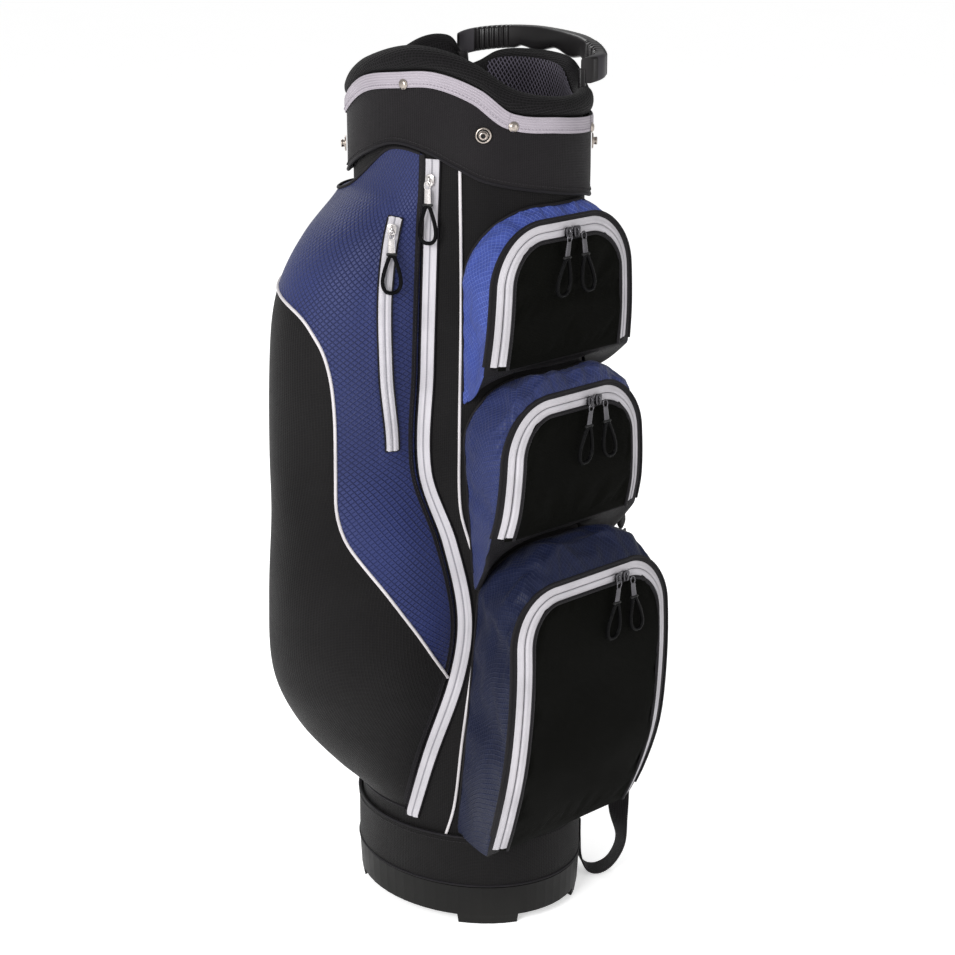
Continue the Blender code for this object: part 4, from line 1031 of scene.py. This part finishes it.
def cut_along(item, values):
    """Cut the faces where a value given at each point crosses zero. Returns the cut's points."""
    with edited(item.data) as shape:
        value = {v: values[v.index] for v in shape.verts}
        for v in value:
            if abs(value[v]) < 1e-5:
                value[v] = 1e-5
        for edge in list(shape.edges):
            a, b = edge.verts
            if value[a] * value[b] < 0:
                made = bmesh.utils.edge_split(edge, a, value[a] / (value[a] - value[b]))[1]
                value[made] = 0.0
        for face in list(shape.faces):
            cuts = [v for v in face.verts if value[v] == 0.0]
            if len(cuts) == 2:
                bmesh.utils.face_split(face, *cuts)
        for face in shape.faces:
            face.material_index = int(sum(value[v] for v in face.verts) > 0)
        return [(v.co.copy(), v.normal.copy()) for v in shape.verts if value[v] == 0.0]


def make_side_pockets():
    rows, columns = 92, 56
    low = BULGE[-1][0]
    start = 0.5 - 0.5 * cos(pi * 0.05)
    for side, word in SIDES:
        grid, marks, hold, out_cap = [], [], [], []
        for row in range(rows + 2):
            share = 0.05 + 0.90 * min(row / rows, 1.0)
            along = (0.5 - 0.5 * cos(pi * share) - start) / (1 - 2 * start)
            line = []
            for column in range(columns + 1):
                share = column / columns
                spread = 0.35 * share + 0.65 * (1 - cos(pi * share)) / 2
                top = pocket_top(side, pocket_angle(BULGE[0][0], spread))
                height = low + (top - low) * along
                angle = pocket_angle(height, spread)
                swell = pocket_offset(angle, height) * (row <= rows)
                near = abs(radians(angle - SHORT_ZIP_ANGLE)) * 0.2
                by_zip = side < 0 and near < 0.016 and SHORT_ZIP[1] - 0.012 < height < SHORT_ZIP[0] + 0.008
                # Close under the short zip, the cloth lies right below its tape
                under_zip = by_zip and near < 0.009
                slack = 0.0 if under_zip else 0.0022 * min(swell / 0.02, 1.0)
                line.append(on_bag(side * angle, height, POCKET_LIFT + swell - slack))
                marks.append((angle, height))
                edge = min(row, max(rows - row, 0), column, columns - column)
                hold.append(max({0: 1.0, 1: 0.7, 2: 0.25}.get(edge, 0.0), 0.4 * by_zip, 1.0 * under_zip))
                under_strap = side > 0 and 58 < angle < 106
                out_cap.append(0.0020 if under_strap else 0.0060)
            grid.append(line)
        shape = Shape()
        shape.grid(grid)
        if side < 0:
            shape.faces = [tuple(reversed(face)) for face in shape.faces]
        shape.uvs = [(radians(marks[i][0]) * 0.16, shape.points[i].z) for face in shape.faces for i in face]
        item = shape.make("side_pocket_" + word, "navy black binding", closed=False)
        settle(item, hold, 2.2, 0.032, out_cap, 0.0036)
        line = cut_along(item, [a - smooth_table(COLOUR_LINE, h) for a, h in marks])
        refine_now(item)
        thicken(item, 0.0012)
        place_on(item, "blue_ripstop", "garment_pocket_" + word)

        # White piping on the line where blue meets black
        line.sort(key=lambda place: -place[0].z)
        shape = Shape()
        shape.rope(smooth_path(chain([p + n * 0.0006 for p, n in line]), 3), 0.0016)
        shape.finish("pocket_piping_" + word, "white_piping", "white_webbing")
        make_pocket_edges(side, word)


def chain(rest):
    """The points in the order met when walking from the first to its nearest unused one."""
    path = [rest.pop(0)]
    while rest:
        nearest = min(range(len(rest)), key=lambda k: (rest[k] - path[-1]).length_squared)
        if (rest[nearest] - path[-1]).length > 0.03:
            break
        path.append(rest.pop(nearest))
    return path


def smooth_path(path, rounds):
    for _ in range(rounds):
        inner = [(a + 2 * b + c) / 4 for a, b, c in zip(path, path[1:], path[2:])]
        path = [path[0], *inner, path[-1]]
    return path


def make_pocket_edges(side, word):
    """Binding around a side pocket's front edge, its back edge and its foot, with stitches."""
    low = BULGE[-1][0]
    front, faces = zip(*(pocket_face(side, pocket_angle(h, 0) + 0.6, h, 0.0)
                         for h in spaced(low + 0.004, pocket_top(side, 72.0) - 0.001, 150)))
    shape = Shape()
    shape.strip(front, faces, tape_profile(0.0064, 0.0012, -0.0012, 0.0003, 8))
    shape.stitch(shifted(front, faces, rise=0.0003), faces)
    edge = [on_bag(side * (POCKET_BACK_ANGLE + 0.3), h, 0.0011)
            for h in spaced(low + 0.004, POCKET_BACK_TOP, 120)]
    edge += [on_bag(side * a, pocket_top(side, a), 0.0008 + pocket_offset(a, pocket_top(side, a)))
             for a in spaced(149.0, 71.5, 90)]
    foot = [on_bag(side * pocket_angle(low, share), low - 0.0006, 0.0012) for share in spaced(0, 1, 60)]
    for path in (edge, foot):
        shape.rope(path, 0.0015)
    shape.finish("pocket_binding_" + word, "binding stitch", "black_ripstop")


# Front pockets

def leg_share(shape, height, inset=0.0):
    """1 along an arch's upright legs, falling to 0 over its corners and along its roof."""
    high, corner = shape["front"][2] - inset, shape["front"][3] - inset
    return sqrt(1 - clamp((height - (high - corner)) / corner) ** 2)


def slanted_depth(shape, height, inset):
    """The front face's depth at a height; beside the legs it slants back towards the gusset."""
    return face_depth(shape, height) - SLANT * max(SLANT_FROM - inset, 0.0) * leg_share(shape, height, inset)


def pocket_curves(shape):
    """The pocket's seam, middle and front outlines, as finely stepped rings."""
    seam = [in_front(x, skin_depth(x, SEAM_LIFT), z)
            for x, z in arch(shape["seam"], spread=partial(seam_spread, shape),
                             neighbour=shape.get("neighbour"))]
    front = [in_front(x + copysign(CORNER_SWELL * leg_share(shape, z), x), slanted_depth(shape, z, 0), z)
             for x, z in arch(shape["front"], spread=partial(front_spread, shape))]
    high, corner = shape["middle"][2:]
    middle = []
    for (x, z), back, ahead in zip(arch(shape["middle"]), seam, front):
        mean = (back + ahead) / 2
        mean.x *= SIDE_BULGE
        mean.y -= SIDE_FORWARD
        roof = clamp((z - (high - corner)) / corner)
        middle.append(mean.lerp(in_front(x, shape["middle_depth"], z), roof))
    return seam, middle, front


def make_gusset(word, shape):
    seam, middle, front = pocket_curves(shape)
    steps = 16
    rows = []
    for share in spaced(0, 1, steps + 1):
        row = []
        for a, b, c in zip(seam, middle, front):
            straight = a.lerp(b, 2 * share) if share < 0.5 else b.lerp(c, 2 * share - 1)
            control = 2 * b - (a + c) / 2
            curve = (1 - share) ** 2 * a + 2 * share * (1 - share) * control + share ** 2 * c
            row.append(straight.lerp(curve, 0.55))
        rows.append(row)
    for lip in (0.0035, 0.0065):
        rows.append([in_front(x, slanted_depth(shape, z, lip) - 0.0009 - 0.2 * (lip - 0.0035), z)
                     for x, z in arch(shape["front"], lip, spread=partial(front_spread, shape))])
    piece = Shape()
    piece.grid(rows, wrap=True, kind=lambda j, i: 1 if j >= steps or i < FLOOR_STEPS else 0)
    item = piece.make(word + "_gusset_cloth", shape["cloth"] + " binding", closed=False)
    hold, out_cap = [], []
    for j, row in enumerate(rows):
        for i, point in enumerate(row):
            edge = min(j, max(steps - j, 0))
            on_floor = i < FLOOR_STEPS
            hold.append(1.0 if on_floor else {0: 1.0, 1: 0.55}.get(edge, 0.0))
            near_neighbour = point.z < shape["front"][1] + 0.02
            out_cap.append(0.0005 if on_floor or near_neighbour else 0.0032)
    normals_out(item, sum(front, Vector()) / len(front))
    settle(item, hold, 1.2, 0.07, out_cap, 0.0042)
    refine_now(item)
    thicken(item, 0.001)
    place_on(item, "blue_ripstop", word + "_gusset")

    piece = Shape()
    for outline, forward in ((front, 0.0004), (seam, -0.0002)):
        piece.rope([p + Vector((0, forward, 0)) for p in outline[FLOOR_STEPS + 2:]], 0.0014)
    piece.finish(word + "_gusset_piping", "binding", "black_ripstop")


def normals_out(item, centre):
    """Turn an open sheet's faces away from a point."""
    with edited(item.data) as shape:
        if sum(f.normal.dot(f.calc_center_median() - centre) * f.calc_area() for f in shape.faces) < 0:
            bmesh.ops.reverse_faces(shape, faces=shape.faces)


def arch_line(shape, inset, floor, sunk):
    """The arch without its floor, inside the front outline by the inset, as a path."""
    outline = arch(shape["front"], inset, floor, partial(front_spread, shape))
    path, normals = [], []
    for x, z in outline[FLOOR_STEPS:] + outline[:1]:
        leg = leg_share(shape, z, inset)
        tilt = SLANT * leg * (inset < SLANT_FROM)
        path.append(in_front(x, slanted_depth(shape, z, inset) - sunk, z))
        normals.append(Vector((copysign(tilt * leg, x), -1, tilt * sqrt(1 - leg ** 2))).normalized())
    return path, normals


def make_flap(word, shape):
    half, low, high, corner = shape["front"]
    middle = low + (high - FLAP_INSET - low) * 0.52
    half, high, corner = half - FLAP_INSET, high - FLAP_INSET, corner - FLAP_INSET
    start = low + FLAP_FLOOR
    heights = spaced(start, high - corner, 31)[:-1]
    heights += [high - corner + corner * sin(t) for t in spaced(0, pi / 2, 19)]
    columns = 40
    rows, hold = [], []
    for j, z in enumerate(heights):
        above = max(z - (high - corner), 0.0)
        reach = (half - corner + sqrt(max(corner ** 2 - above ** 2, 0.0))) * front_spread(shape, z)
        leg = leg_share(shape, z, FLAP_INSET)
        row = []
        for i, share in enumerate(spaced(-1, 1, columns + 1)):
            x = reach * (sin(share * pi / 2) * 0.45 + share * 0.55)
            edge = min(reach - abs(x), high - z, z - start)
            sunk = 0.0018 if edge < 0.008 else 0.0022 - 0.0004 * min(edge / 0.01, 1.0)
            slant = SLANT * max(SLANT_FROM - FLAP_INSET - (reach - abs(x)), 0.0) * leg
            row.append(in_front(x, face_depth(shape, z) - sunk - slant, z))
            border = min(j, len(heights) - 1 - j, i, columns - i)
            creased = word == "top" and abs(z - middle) < 0.0025
            hold.append(1.0 if edge < 0.0085 or border == 0 else 0.8 * creased)
        rows.append(row)
    piece = Shape()
    piece.grid(rows)
    face = piece.make(word + "_flap_cloth", "flap", closed=False)
    settle(face, hold, 0.9, 0.02, [0.0019] * len(hold), 0.0016)
    co = [v.co.copy() for v in face.data.vertices]
    data = face.data
    bpy.data.objects.remove(face)
    bpy.data.meshes.remove(data)
    front = [co[j * (columns + 1):(j + 1) * (columns + 1)] for j in range(len(heights))]
    back = [[in_front(p.x, min(face_depth(shape, p.z) - 0.005, AXIS_Y - p.y - 0.0022), p.z) for p in row]
            for row in rows]
    piece = Shape()
    piece.grid(front)
    piece.grid(back, kind=1)
    last_row, last = len(front) - 1, columns
    edge = [(0, i) for i in range(last)] + [(j, last) for j in range(last_row)]
    edge += [(last_row, i) for i in range(last, 0, -1)] + [(j, 0) for j in range(last_row, 0, -1)]
    piece.grid([[sheet[j][i] for j, i in edge] for sheet in (front, back)], wrap=True, kind=2)
    item = piece.make(word + "_flap_panel", "flap lining binding")
    with edited(item.data) as mesh:
        bmesh.ops.remove_doubles(mesh, verts=mesh.verts, dist=0.00002)
        bmesh.ops.recalc_face_normals(mesh, faces=mesh.faces)
    place_on(item, "black_ripstop", word + "_flap", body=word + "_flap")

    # The zip's two halves: one on the pocket, one on the panel
    piece = Shape()
    outer, facing = arch_line(shape, WALL + 3.5 * GAP + ZIP_WIDTH / 4 - 0.0001, ZIP_FOOT, 0.0014)
    piece.strip(outer, facing, half_tape(1))
    piece.finish(word + "_zip_outer", "tape", "zip_tape", word + "_zip")
    piece = Shape()
    inner, facing = arch_line(shape, FLAP_INSET + ZIP_WIDTH / 4 - 0.0003, ZIP_FOOT, 0.0014)
    piece.strip(inner, facing, half_tape(-1))
    core, facing = arch_line(shape, FLAP_INSET - 0.0001, ZIP_FOOT, 0.0016)
    piece.rope(core, 0.0006, kind=1, sides=8)
    edge, facing = arch_line(shape, FLAP_INSET + ZIP_WIDTH / 2 + 0.0008, FLAP_FLOOR, 0.0012)
    piece.strip(edge, facing, tape_profile(0.0042, 0.0009, 0.0, 0.0006, 8), 2)
    piece.stitch([p + Vector((0, -0.0013, 0)) for p in edge], facing, kind=3)
    piece.finish(word + "_zip_inner", "tape coil binding stitch", "zip_tape", body=word + "_flap")


def half_tape(sign):
    """Half a zip's tape, 7 mm wide; its coil swells beside the edge where the halves meet."""
    half = ZIP_WIDTH / 4
    profile = []
    for x in spaced(-half, half, 11):
        swell = 0.0006 * exp(-((x * sign - half + 0.0022) / 0.0016) ** 2)
        edge = min((half - abs(x)) / 0.0008, 1.0)
        profile.append((x, 0.0007 * (0.4 + 0.6 * edge) + swell))
    return profile + [(half, 0.0), (-half, 0.0)]


# Sliders and pulls

def oval(half_x, half_y, power, taper=0.0):
    points = [(blunt(cos(t), power) * half_x, blunt(sin(t), power) * half_y) for t in turns(24)]
    return [(x * (1 + taper * y / half_y), y) for x, y in points]


def make_slider(look, node, place, out):
    """A zip slider: a shield-shaped top plate, a bridge over it and a lower plate."""
    up = (UP - out * out.z).normalized()
    across = up.cross(out)
    wide, deep, tall = SLIDER_SIZE
    shape = Shape()
    base = place - out * (deep / 2)
    for lift, outline, thick in ((0.0007, oval(wide * 0.42, tall * 0.46, 0.7), 0.0010),
                                 (0.0026, oval(wide * 0.46, tall * 0.5, 0.65, 0.14), 0.0014)):
        shape.tube([[base + across * x * share + up * y * share + out * (lift + thick * (depth - 0.5))
                     for x, y in outline]
                    for share, depth in ((0.86, 0.0), (1.0, 0.15), (1.0, 0.85), (0.86, 1.0))])
    shape.rope([base + out * (0.0030 + 0.0020 * sin(t)) + up * 0.0034 * cos(t) for t in spaced(0, pi, 11)],
               0.00085, sides=8)
    shape.finish(node + "_metal", look, "zip_slider", node, body=node)


def make_pull(look, body, pivot, across, down, out, lift):
    """A hoop and tab of metal, a small stopper bar and a teardrop loop of round cord."""
    def along(fall, aside=0.0):
        here = pivot + down * fall + across * aside
        return here + out * lift(here)

    shape = Shape()
    shape.rope([along(0.0042 - 0.0042 * cos(t), 0.0030 * sin(t)) for t in turns(24)],
               0.00065, sides=8, closed=True)
    shape.tube([[along(0.0074 + 0.0136 * share) + across * (0.0030 + 0.0005 * share) * cos(t)
                 + out * (0.00075 * sin(t)) for t in turns(16)] for share in spaced(0, 1, 9)])
    shape.finish(body + "_tab", look, "zip_slider", body=body)

    shape = Shape()
    bar = along(0.0222)
    shape.rope([bar + across * x for x in spaced(-0.0050, 0.0050, 9)],
               lambda i: 0.0016 if 0 < i < 8 else 0.0010, kind=1)
    points = []
    for turn in turns(48, 0.5):
        share = 0.5 - 0.5 * cos(turn)
        spread = PULL_WIDTH * 0.50 * sin(turn) * (0.25 + 0.75 * share)
        points.append(along(0.0235 + (PULL_LENGTH - 0.0235) * share, spread + copysign(0.0012, sin(turn))))
    shape.rope(points, 0.0019, sides=12, closed=True)
    shape.finish(body + "_loop", "cord core", "pull_cord", body, body=body)


def make_front_sliders(word, shape):
    level = shape["front"][2] - FLAP_INSET - SLIDER_DROP
    face = face_depth(shape, level - SLIDER_SIZE[2] / 2) + 2 * GAP

    def lift(point):
        return max(face_depth(shape, point.z) + PULL_CORD + 2 * GAP + point.y - AXIS_Y, 0.0)

    for sign, turn in SIDES:
        x = shape["slot_centre"] + sign * SLIDER_SPACING / 2
        place = in_front(x, face + SLIDER_SIZE[1] / 2, level)
        make_slider("gunmetal", "%s_slider_%s" % (word, turn), place, Vector((0, -1, 0)))
        pivot = in_front(x + sign * PULL_SIDE, face + SLIDER_SIZE[1] + PULL_CORD + GAP, level)
        lean = Vector((sign * 0.16, 0, -1)).normalized()
        make_pull("gunmetal", "%s_pull_%s" % (word, turn), pivot, Vector((1, 0, 0)), lean,
                  Vector((0, -1, 0)), lift)


def hanging_pair(kind, side, word, place, slider_out, clear):
    """A side slider and its pull, which hangs as far out as it has to, to stay off the pocket."""
    axis = Vector((0, AXIS_Y, 0))
    out = Vector((slider_out.x, slider_out.y, 0)).normalized()

    def lift(point):
        for step in range(60):
            moved = point + out * 0.001 * step - axis
            turn = degrees(atan2(abs(moved.x) / TUBE_HALF_X, -moved.y / TUBE_HALF_Y))
            surface = on_bag(side * turn, moved.z, pocket_offset(turn, moved.z) + POCKET_LIFT) - axis
            if moved.xy.length > surface.xy.length + PULL_CORD + clear:
                break
        return 0.001 * step

    make_slider("bright", kind + "_slider_" + word, place, out)
    pivot = place + out * (SLIDER_SIZE[1] / 2 + PULL_CORD + GAP)
    make_pull("bright", kind + "_pull_" + word, pivot, UP.cross(out), -UP, out, lift)


def make_side_sliders():
    for side, word in SIDES:
        height = zip_top(side) - SIDE_SLIDER_DROP
        angle = side * smooth_table(ZIP_LINE, height)
        place = on_bag(angle, height, GAP + ZIP_THICK + SIDE_SLIDER_CLEAR + SLIDER_SIZE[1] / 2)
        hanging_pair("garment", side, word, place, outward(angle), 0.0052)
    place, normal = pocket_face(-1, SHORT_ZIP_ANGLE, SHORT_ZIP[0] - 0.012, SHORT_ZIP_LIFT + ZIP_THICK / 2)
    place += normal * (3 * SIDE_SLIDER_CLEAR + SLIDER_SIZE[1] / 2)
    hanging_pair("valuables", -1, "left", place, normal, 0.0065)


# Shoulder strap

def strap_run(route, steps):
    tables = [list(enumerate(column)) for column in zip(*route)]
    path, flats, twists = [], [], []
    for step in range(steps + 1):
        where = (len(route) - 1) * step / steps
        angle, height, lift, twist = (smooth_table(table, where) for table in tables)
        point, normal = pocket_face(1, angle, height, lift)
        path.append(point)
        flats.append(normal)
        twists.append(twist)
    facing = []
    for ahead, flat, twist in zip(headings(path), flats, twists):
        flat = ahead.cross(UP.cross(flat)).normalized()
        facing.append(Matrix.Rotation(radians(twist), 3, ahead) @ flat)
    return path, facing


def make_strap():
    half, rise = STRAP_WIDTH / 2, STRAP_THICK / 2
    top = [(x, rise * (0.62 + 0.38 * min((half - abs(x)) / 0.002, 1))) for x in spaced(-half, half, 17)]
    profile = top + [(x, -y) for x, y in reversed(top)]
    for name, route, steps in (("strap_upper", UPPER_STRAP, 48), ("strap_lower", LOWER_STRAP, 224)):
        path, facing = strap_run(route, steps)
        shape = Shape()
        shape.strip(path, facing, profile)
        for across in (0.0025 - half, half - 0.0025) if name == "strap_upper" else ():
            shape.stitch(shifted(path, facing, across, rise + 0.0001), facing)
        shape.finish(name, "webbing stitch", "strap_webbing", name + "_webbing")
    path, facing = strap_run(STRAP_PAD, 90)
    shape = Shape()
    rows = []
    for share, point, ahead, face in zip(spaced(0, 1, 91), path, headings(path), facing):
        ends = min(min(share, 1 - share) / 0.06, 1.0) ** 0.5
        quilt = 1 - 0.16 * exp(-((share * 12 % 1 - 0.5) / 0.09) ** 2)
        side = ahead.cross(face).normalized() * PAD_WIDTH / 2 * (0.72 + 0.28 * ends)
        up = face * PAD_THICK / 2 * (0.35 + 0.65 * ends) * quilt
        rows.append([point + side * blunt(cos(t), 0.7) + up * blunt(sin(t), 0.8) for t in turns(32)])
    shape.tube(rows)
    pad = shape.finish("shoulder_pad", "rim", "black_ripstop", "strap_pad")
    shape = Shape()
    for sign in (-1, 1):
        shape.rope(shifted(path, facing, sign * (PAD_WIDTH / 2 - 0.0012))[4:87], 0.0019)
    shape.finish("shoulder_pad_piping", "binding", "black_ripstop")


# The frame's own hard parts, light and camera

def finish_frame_nodes(nodes):
    looks = {"base_moulding": "base", "top_ring": "base", "stay_rod_left": "steel",
             "stay_rod_right": "steel", "strap_d_ring": "nickel"}
    for name, look in looks.items():
        nodes[name].data.materials.clear()
        nodes[name].data.materials.append(LOOKS[look])
        bevel = nodes[name].modifiers.new("soft_edges", "BEVEL")
        bevel.width = 0.0006
        bevel.segments = 2
        bevel.limit_method = "ANGLE"
        bevel.angle_limit = radians(40)


def add_light(name, place, target, size, power):
    light = bpy.data.lights.new(name, "AREA")
    light.shape = "SQUARE"
    light.size = size
    light.energy = power
    item = bpy.data.objects.new(name, light)
    item.location = place
    item.rotation_mode = "QUATERNION"
    item.rotation_quaternion = (Vector(target) - Vector(place)).to_track_quat("-Z", "Y")
    bpy.context.scene.collection.objects.link(item)


def make_studio():
    world = bpy.data.worlds.new("studio")
    bpy.context.scene.world = world
    world.use_nodes = True
    world.node_tree.nodes["Background"].inputs["Color"].default_value = (1.0, 1.0, 1.0, 1)
    world.node_tree.nodes["Background"].inputs["Strength"].default_value = 0.55
    bpy.context.scene.view_settings.view_transform = "Standard"
    add_light("key", (-2.5, -0.7, 1.5), (0, 0, 0.5), 1.3, 75)
    add_light("fill", (0.3, -2.8, 1.0), (0, 0, 0.45), 1.4, 14)
    add_light("back", (0.6, 2.4, 2.4), (0, 0, 0.5), 1.2, 30)
    coat = Paint("pale_floor", 0.9, specular=0.1, Emission_Strength=0.5, Emission_Color=(1, 1, 1, 1))
    coat.feed(coat.shader.inputs["Base Color"], coat.mix(coat.noise(3, 4), (0.88,) * 3, (0.90,) * 3))
    LOOKS["floor"] = coat.material
    floor = Shape()
    floor.grid([[(-FLOOR_HALF, y, 0), (FLOOR_HALF, y, 0)] for y in (-FLOOR_HALF, FLOOR_HALF)])
    item = floor.make("floor", "floor", closed=False)


def make_camera():
    turn, tilt = radians(-44.0), radians(17.5)
    right = Vector((cos(turn), sin(turn), 0))
    ahead = Vector((-sin(turn), cos(turn), 0))
    look = cos(tilt) * ahead - sin(tilt) * UP
    rise = sin(tilt) * ahead + cos(tilt) * UP
    place = 0.006 * right - 2.13 * ahead + 1.112 * UP + Vector((0, AXIS_Y, 0))
    camera = bpy.data.cameras.new("camera")
    camera.sensor_width = 36
    camera.lens = 83.31
    camera.shift_x = 3.3 / 955
    camera.shift_y = 1.5 / 955
    item = bpy.data.objects.new("camera", camera)
    axes = Matrix((right, rise, -look)).transposed()
    item.matrix_world = Matrix.Translation(place) @ axes.to_4x4()
    bpy.context.scene.collection.objects.link(item)
    bpy.context.scene.camera = item


def main():
    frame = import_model()
    make_camera()
    make_materials()
    make_studio()
    finish_frame_nodes(frame["nodes"])
    for make in (make_tube, make_collar, make_rim, make_dividers, make_handle, make_metal,
                 make_side_zips, make_side_pockets):
        make()
    for word, shape in FRONT_POCKETS.items():
        make_gusset(word, shape)
        make_flap(word, shape)
        make_front_sliders(word, shape)
    make_side_sliders()
    make_strap()


main()
